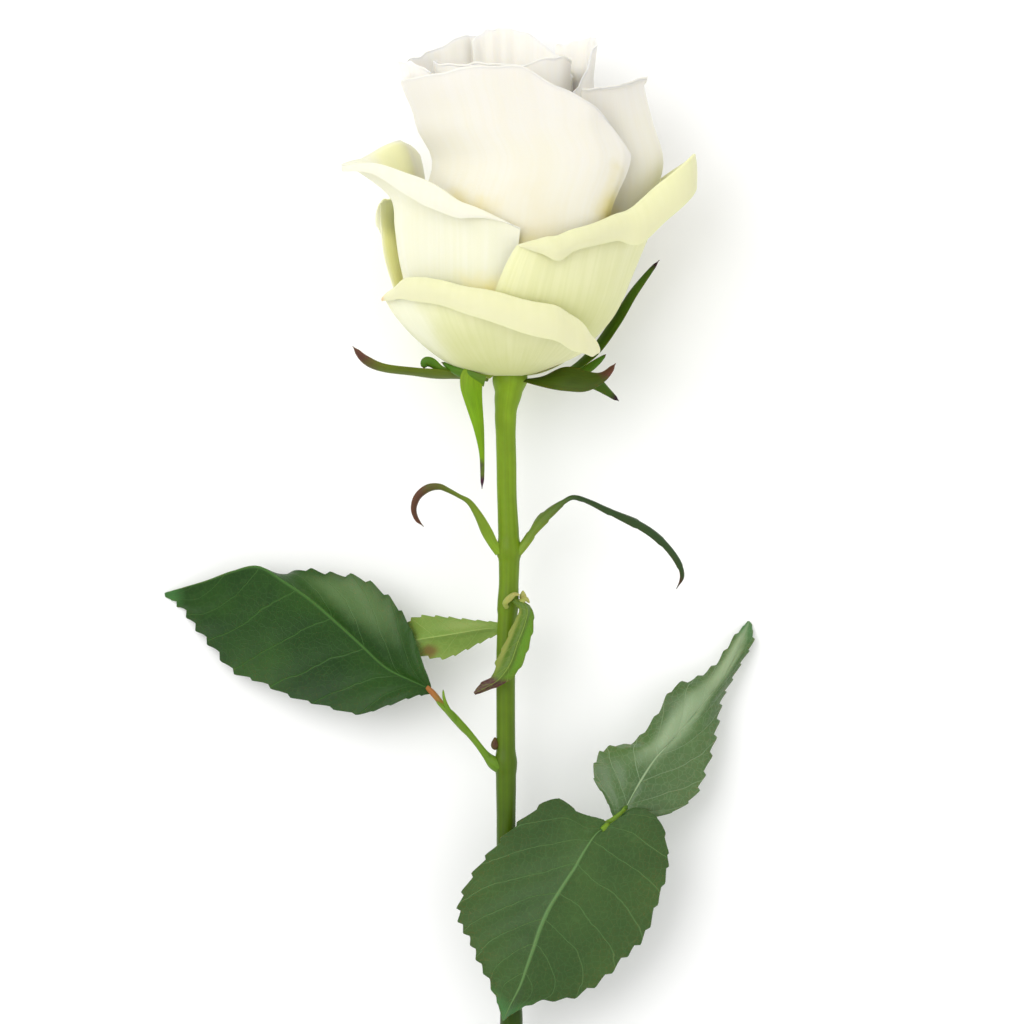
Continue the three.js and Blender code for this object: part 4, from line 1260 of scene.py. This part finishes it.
@dataclass
class Blade:
    """A leaflet with a folded midrib, quilted between its veins and toothed at its margin.

    Attributes:
        stations: rows of left margin, midrib and right margin, from foot to tip.
        skin: its finish.
        teeth: number of teeth on each side.
        tooth: how far they reach out.
        back: share of a tooth's length that its long side takes.
        camber: how far each half arches up.
        quilt: how far the blade rises between veins.
        flutter: height of the waves at its margin.
        thickness: in millimetres.
        columns: faces across.
    """

    stations: Sequence[Sequence[Row]]
    skin: LeafSkin
    teeth: int = 17
    tooth: float = 0.55
    back: float = 0.72
    camber: float = 0.7
    quilt: float = 0.3
    flutter: float = 0.25
    thickness: float = 0.32
    columns: int = 32

    def point(self, u: float, v: float) -> Vector:
        """Give the blade's point at a share across it and a share along it."""
        lefts, middles, rights = zip(*self.stations)
        left, right = Vector(spline(lefts, v)), Vector(spline(rights, v))
        middle, along = along_path(middles, v)
        normal = (right - left).cross(along).normalized()
        reach = (left if u < 0.5 else right) - middle
        f = abs(2 * u - 1)
        width = reach.length
        body = min(1.0, width / 8)
        place = middle + reach * f + normal * (4 * self.camber * f * (1 - f) * body)
        phase = self.skin.veins * (v - self.skin.sweep * f)
        between = math.sin(math.pi * abs(phase - round(phase)))
        place += normal * (self.quilt * body * (between - 0.6) * smooth(f, 0.0, 0.18) * (1 - 0.5 * f))
        place -= normal * (0.3 * math.exp(-(f * width / 0.5) ** 2) * smooth(v, 0.0, 0.1))
        place += normal * (self.flutter * body * f * f * math.sin(9 * v + (2 if u < 0.5 else 0)))
        if 0.03 < v < 0.97 and width > 0.5:
            part = (v * self.teeth) % 1
            saw = (part / self.back) ** 1.4 if part < self.back else (1 - part) / (1 - self.back)
            margin = smooth(f, 0.72, 1.0) * self.tooth * min(1.0, width / 3)
            place += reach.normalized() * (margin * (1.35 * saw - 0.35)) + along * (margin * saw)
        return place

    def wall(self, u: float, v: float) -> float:
        """Give the blade's share of its thickness: it thins out from its midrib to its margins."""
        return 1 - 0.5 * smooth(abs(2 * u - 1), 0.2, 1.0)

    def build(self, name: str) -> bpy.types.Object:
        """Build the leaflet.

        Args:
            name: the piece's name.

        Returns:
            The leaflet.
        """
        piece = shaped_grid(name, self.columns, self.teeth * 8, self.point, self.wall)
        thicken(piece, self.thickness)
        return dress(piece, self.skin.material())


# Left leaf: its patch paints a paler sheen, a highlight of the light, on the blade near its upper margin.
LEFT_SKIN = LeafSkin("rose leaf, dark satin green with a painted sheen", blade="#274a12", shade="#16360a", vein="#3f6628",
                     rough=0.4,
                     gloss=0.2, sweep=0.27, patches=(Patch(0.2, 0.36, 0.28, 0.22, "#64804e", 0.55),))
RIGHT_SKIN = LeafSkin("rose leaf, dull green", blade="#38561f", shade="#2a4816", vein="#587c42", gloss=0.3,
                      sweep=0.3)
# Upper right leaflet: a paler base and two patches beside the midrib paint its sheen, a reflection of the
# light, over the middle and towards the tip.
SHEEN_SKIN = LeafSkin("rose leaf, grey-green with a painted sheen", blade="#45652c", shade="#385624", vein="#8aa276",
                      rough=0.34,
                      gloss=0.5, sweep=0.22, patches=(
                          Patch(0.4, 0.55, 0.3, 0.3, "#8a9f78", 0.8),
                          Patch(0.4, 0.85, 0.4, 0.2, "#93a67f", 0.8),
                      ))
YOUNG_BACK_SKIN = LeafSkin("young rose leaf, light green", blade="#718c3a", shade="#62802e", vein="#93ac58",
                           tip="#7a6a3a", tip_start=0.86, veins=5, patches=(
                               Patch(0.84, 0.66, 0.22, 0.1, "#6c5c2c", 0.95),
                               Patch(0.3, 0.3, 0.3, 0.3, "#86984e", 0.6),
                           ))
YOUNG_FRONT_SKIN = LeafSkin("young rose leaf, yellow-green", blade="#557214", shade="#486410",
                            vein="#86a040",
                            tip="#4a2c26", tip_start=0.7, veins=5, rough=0.4, patches=(
                                Patch(0.08, 0.4, 0.2, 0.4, "#939a4a", 0.7),
                                Patch(0.8, 0.42, 0.3, 0.4, "#5c9010", 0.6),
                            ))
PETIOLE_SKIN = GreenSkin("rose petiole, yellow-green", near="#5a7c1a", far="#6c8c24", tip="#4a6c1c")
AMBER_SKIN = GreenSkin("rose petiolule, orange-brown", near="#7c7428", far="#9c6430", tip="#8a5630",
                       turn=0.6)

LEFT_LEAFLET = (
    ((-15.5, -61.4, 13), (-15.4, -62.4, 13.4), (-15.6, -63.3, 13)),
    ((-17.6, -55.2, 12.4), (-19.6, -60.6, 14.2), (-19, -63.9, 13.6)),
    ((-19.8, -49.6, 11.8), (-24.6, -58, 14.4), (-24.4, -65.8, 13.4)),
    ((-23.6, -44.4, 10.8), (-29.6, -53.4, 14), (-29.8, -67.4, 12.4)),
    ((-29.2, -40.4, 9.8), (-34.6, -48.8, 13.2), (-36.6, -65.8, 10.8)),
    ((-35.6, -39.4, 8.6), (-39.6, -44.4, 12), (-43.2, -64, 8.8)),
    ((-41.6, -38.6, 7.6), (-44.8, -40.8, 10.4), (-49.2, -61.2, 6.6)),
    ((-47.6, -41, 4.4), (-50, -37.8, 8.6), (-54.8, -59, 4.4)),
    ((-53.4, -42.6, 2), (-55.2, -38.8, 6.4), (-59.2, -54, 2.8)),
    ((-59.2, -43.8, 1.3), (-60.6, -40.8, 4.2), (-63, -49.6, 1.8)),
    ((-64.6, -44.2, 0.9), (-65.2, -42.2, 2.2), (-65.8, -45.8, 1)),
    ((-68.8, -43.3, 0.4), (-69.1, -43.3, 0.5), (-69.2, -43.9, 0.4)),
)

UPPER_RIGHT_LEAFLET = (
    ((21.2, -88, 14.6), (21.8, -88.8, 14.8), (22.6, -89.2, 14.8)),
    ((19.2, -83.8, 14.4), (23.2, -86.8, 15.2), (27.4, -88.4, 14)),
    ((17.2, -80.4, 13.4), (24.8, -83.8, 14.8), (32.8, -87.2, 12.4)),
    ((18, -76, 12.4), (27, -80, 14.2), (37.2, -84, 10.8)),
    ((20.8, -74, 11.4), (29.6, -76.2, 13.2), (39.2, -79.6, 9.4)),
    ((25.2, -73.2, 10.4), (32.6, -73, 12.2), (41, -74, 8.2)),
    ((29.4, -68.4, 9.4), (36, -69.2, 11), (42, -69.2, 7.2)),
    ((33.2, -62.4, 8.2), (39.2, -65.4, 9.6), (42.8, -64.8, 6.4)),
    ((38, -60.4, 6.4), (42.2, -61.6, 7.8), (44.6, -61.2, 5.4)),
    ((42, -57.4, 4.6), (44.6, -58, 5.6), (47, -57, 4)),
    ((45.4, -52.4, 2.6), (47, -53.4, 3.2), (49.2, -53.2, 2.4)),
    ((48.4, -48.8, 0.4), (48.8, -48.8, 0.5), (49.2, -49.6, 0.4)),
)

LOWER_RIGHT_LEAFLET = (
    ((19.2, -88.4, 16.6), (20.2, -89.6, 16.8), (21.2, -88.8, 16.6)),
    ((14.4, -86.8, 17.6), (17.6, -91.4, 18), (25.6, -85.8, 17)),
    ((9.6, -84, 18.6), (15.4, -94.4, 19), (30.4, -88.4, 17)),
    ((2.8, -88.4, 19.4), (13, -98.4, 19.8), (32, -94.4, 16.4)),
    ((-2.2, -93.4, 19.2), (10.4, -102.4, 20.4), (31.8, -98.8, 16)),
    ((-6.6, -98.8, 18.4), (8.2, -106, 20.6), (29.8, -105, 15.8)),
    ((-9.4, -104.4, 17.6), (6.4, -110, 20.6), (27.2, -111.6, 15.8)),
    ((-9.4, -108.8, 17.4), (5.2, -113.6, 20.4), (23.4, -115.6, 16)),
    ((-7.4, -112.4, 17.4), (3.8, -117.6, 20), (18.4, -120.6, 16.2)),
    ((-5.6, -116.8, 17.4), (2.4, -121.6, 19.2), (12.4, -124, 16.6)),
    ((-3.2, -121.4, 17.2), (0.6, -125.2, 18.2), (5.6, -124.8, 17)),
    ((-1.4, -127.4, 16.8), (-1, -128.6, 16.8), (0.4, -127.6, 16.8)),
)

SMALL_BACK_LEAF = (
    ((-1.9, -48.9, 17.2), (-1.9, -50, 17.4), (-1.9, -51.2, 17.2)),
    ((-5.2, -48.6, 15.8), (-5, -50.2, 16.2), (-4.8, -52.6, 15.6)),
    ((-9.4, -48.2, 14.4), (-8.6, -50.8, 15.2), (-8.4, -54.4, 14)),
    ((-13.4, -47.8, 13.4), (-12.2, -51.4, 14.4), (-12.2, -56, 12.8)),
    ((-17.6, -47.8, 11.6), (-16, -52, 12.6), (-16, -55.8, 11)),
    ((-20.4, -49.2, 9.4), (-19.4, -52.6, 9.8), (-19.4, -55, 9)),
    ((-22.2, -52.6, 7.2), (-22, -53, 7.2), (-22, -53.6, 7.2)),
)

SMALL_FRONT_LEAF = (
    ((0.6, -44.6, 20.4), (1.4, -44.4, 20.4), (2.4, -44.2, 20.2)),
    ((2.2, -46.4, 21.6), (3.6, -46, 21.2), (4.8, -46.2, 20.4)),
    ((0.9, -49.4, 22.4), (3.2, -49.2, 21.8), (5.1, -49.4, 20.8)),
    ((-0.6, -53, 22.6), (1.8, -53, 22.2), (4.3, -53, 21.4)),
    ((-2.2, -56.4, 22.4), (0.4, -57, 22.2), (2.9, -57, 21.6)),
    ((-3, -59.4, 21.8), (-1.8, -60, 21.8), (0.6, -60.2, 21.4)),
    ((-5.4, -61, 21), (-4.2, -61.6, 21), (-2.8, -62, 20.8)),
    ((-6.8, -62.8, 20.4), (-6.7, -63, 20.4), (-6.5, -63.3, 20.4)),
)


@dataclass
class Foliage:
    """The leaves with their stalks and stipules."""

    def stalk(self, name: str, path: Sequence[Row], skin: GreenSkin) -> bpy.types.Object:
        """Build a stalk from rows of x, y, z and radius, with its finish."""
        return dress(Tube(path).build(name), skin.material())

    def left_leaf(self) -> None:
        """Build the left leaf: petiole, winged stipule, amber petiolule and one leaflet."""
        petiole = self.stalk("left_petiole", (
            (-1.2, -78, 15.2, 1.5), (-2.9, -77, 15.3, 1.35), (-4.4, -75.5, 15.2, 0.8),
            (-6.4, -73, 15, 0.6), (-8.6, -70.6, 14.7, 0.55), (-10.6, -68.6, 14.4, 0.55),
            (-13.2, -65.6, 13.9, 0.5),
        ), PETIOLE_SKIN)
        amber = self.stalk("left_petiolule", (
            (-12.6, -66.2, 14, 0.55), (-14, -64.4, 13.8, 0.6), (-15.2, -63, 13.5, 0.6),
            (-16.4, -61.8, 13.4, 0.45),
        ), AMBER_SKIN)
        wing = Ribbon((
            (-3.6, -76.4, 15.9, 0.6, 10), (-4.7, -74.9, 15.7, 0.5, 30), (-6.5, -72.8, 15.4, 0.65, 40),
            (-9.3, -69.7, 15.1, 0.75, 10), (-11.6, -67.2, 14.9, 0.7, 20), (-13.4, -65.6, 14.6, 0.4, 10),
            (-14.4, -64.8, 14.4, 0.15, 10),
        ), keel=0.7).build("left_stipule", PETIOLE_SKIN)
        ear = Ribbon((
            (-10.2, -68.8, 15.2, 0.4, 10), (-12, -66.2, 15.4, 0.4, 20), (-12.8, -64.2, 15.5, 0.3, 20),
            (-13, -62.4, 15.5, 0.15, 20),
        ), rows=24).build("left_stipule_tip", PETIOLE_SKIN)
        blade = Blade(LEFT_LEAFLET, LEFT_SKIN).build("left_leaflet")
        settle(join("left_leaf", [blade, petiole, amber, wing, ear]), "leaves", "leaf_left")

    def right_leaf(self) -> None:
        """Build the right leaf: rachis, petiolule and two leaflets."""
        rachis = self.stalk("right_rachis", (
            (3.6, -102.8, 12.8, 0.85), (7, -99.6, 12.6, 0.8), (13, -94.4, 12.8, 0.75),
            (18.4, -90.2, 13.8, 0.75), (21.4, -88.4, 14.8, 0.7), (24, -85.6, 15, 0.5),
        ), PETIOLE_SKIN)
        petiolule = self.stalk("right_petiolule", (
            (17.4, -91, 13.4, 0.7), (18.8, -90.4, 15, 0.7), (19.8, -89.6, 16.6, 0.65),
            (18.6, -90.6, 17.6, 0.5),
        ), PETIOLE_SKIN)
        upper = Blade(UPPER_RIGHT_LEAFLET, SHEEN_SKIN, teeth=16, tooth=0.5).build("upper_right_leaflet")
        lower = Blade(LOWER_RIGHT_LEAFLET, RIGHT_SKIN, tooth=0.6).build("lower_right_leaflet")
        settle(join("right_leaf", [upper, lower, rachis, petiolule]), "leaves", "leaf_right")

    def build(self) -> None:
        """Build every leaf."""
        self.left_leaf()
        self.right_leaf()
        back = Blade(SMALL_BACK_LEAF, YOUNG_BACK_SKIN, teeth=9, tooth=0.4, camber=0.4, quilt=0.15,
                     columns=24)
        settle(back.build("back_small_leaf"), "young_leaves", "small_leaf_back")
        front = Blade(SMALL_FRONT_LEAF, YOUNG_FRONT_SKIN, teeth=8, tooth=0.3, camber=0.2, quilt=0.12,
                      columns=24)
        settle(front.build("front_small_leaf"), "young_leaves", "small_leaf_front")


# Studio


@dataclass(frozen=True)
class Paper(Finish):
    """Matt white paper sweep under the rose: even and shadowless but for a soft contact shadow."""

    colour: str = "#fafaf9"

    def material(self) -> bpy.types.Material:
        """Build the paper's material.

        Returns:
            The finished material.
        """
        material, tree, place = self.start()
        grain = add(tree, "TexNoise", {"Vector": place.outputs["Object"], "Scale": PAPER_GRAIN})
        return self.coat(material, linear(self.colour), (grain, 0.05, 0.1 * MM), {"Roughness": 0.9})


@dataclass
class Studio:
    """Pale floor, soft lights and the camera straight above.

    Attributes:
        centre: the point of the rose at the middle of the picture, in its own millimetres.
        field: width of the picture at the stem's height, in metres.
        distance: from the camera to the stem's height, in metres.
        floor: side of the floor, in metres.
        lights: each light's name, its place and side in metres, and its power in watts.
        aim: the point that the lights face, in metres.
        sky: strength of the even white light from all round.
    """

    centre: Row = (0.8, -26.8, 20.0)
    field: float = 0.2048
    distance: float = 2.2
    floor: float = 6.0
    lights: Sequence[tuple[str, Row, float, float]] = (
        ("key", (-0.55, 0.35, 1.0), 0.9, 6.6), ("fill", (0.8, -0.1, 0.9), 1.1, 1.8),
        ("crown", (0.1, 0.9, 0.6), 0.8, 0.6),
    )
    aim: Row = (0, 0.04, 0)
    sky: float = 0.86

    def light(self, name: str, place: Row, size: float, power: float) -> None:
        """Hang one soft square light that faces the rose.

        Args:
            name: the light's name.
            place: where it hangs, in metres.
            size: its side, in metres.
            power: in watts.
        """
        bpy.ops.object.light_add(type="AREA", location=place)
        lamp = bpy.context.object
        lamp.name = name
        lamp.data.shape = "SQUARE"
        lamp.data.size = size
        lamp.data.energy = power
        lamp.rotation_euler = (Vector(self.aim) - Vector(place)).to_track_quat("-Z", "Y").to_euler()

    def build(self) -> None:
        """Build the floor, the lights and the camera."""
        select()
        bpy.ops.mesh.primitive_plane_add(size=self.floor)
        floor = dress(bpy.context.object, Paper("matt white paper").material())
        floor.name = "floor"
        for name, place, size, power in self.lights:
            self.light(name, place, size, power)
        world = bpy.data.worlds.new("studio")
        world.use_nodes = True
        feed(world.node_tree, world.node_tree.nodes["Background"], {0: linear("#ffffff"), 1: self.sky})
        bpy.context.scene.world = world
        bpy.context.scene.view_settings.view_transform = "Standard"
        middle = (Vector(self.centre) + STEM_TOP_PLACE) * MM
        bpy.ops.object.camera_add(location=middle + Vector((0, 0, self.distance)), rotation=(0, 0, 0))
        camera = bpy.context.object
        camera.data.sensor_width = SENSOR_WIDTH
        camera.data.lens = SENSOR_WIDTH * self.distance / self.field
        camera.data.clip_start = 0.05
        camera.data.clip_end = 50
        bpy.context.scene.camera = camera


def main() -> None:
    """Build the rose and its studio."""
    logging.basicConfig(level=logging.INFO, format="%(name)s: %(message)s")
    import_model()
    for part in (Stem(), Bloom(), Calyx(), Foliage(), Studio()):
        part.build()


if __name__ == "__main__":
    main()
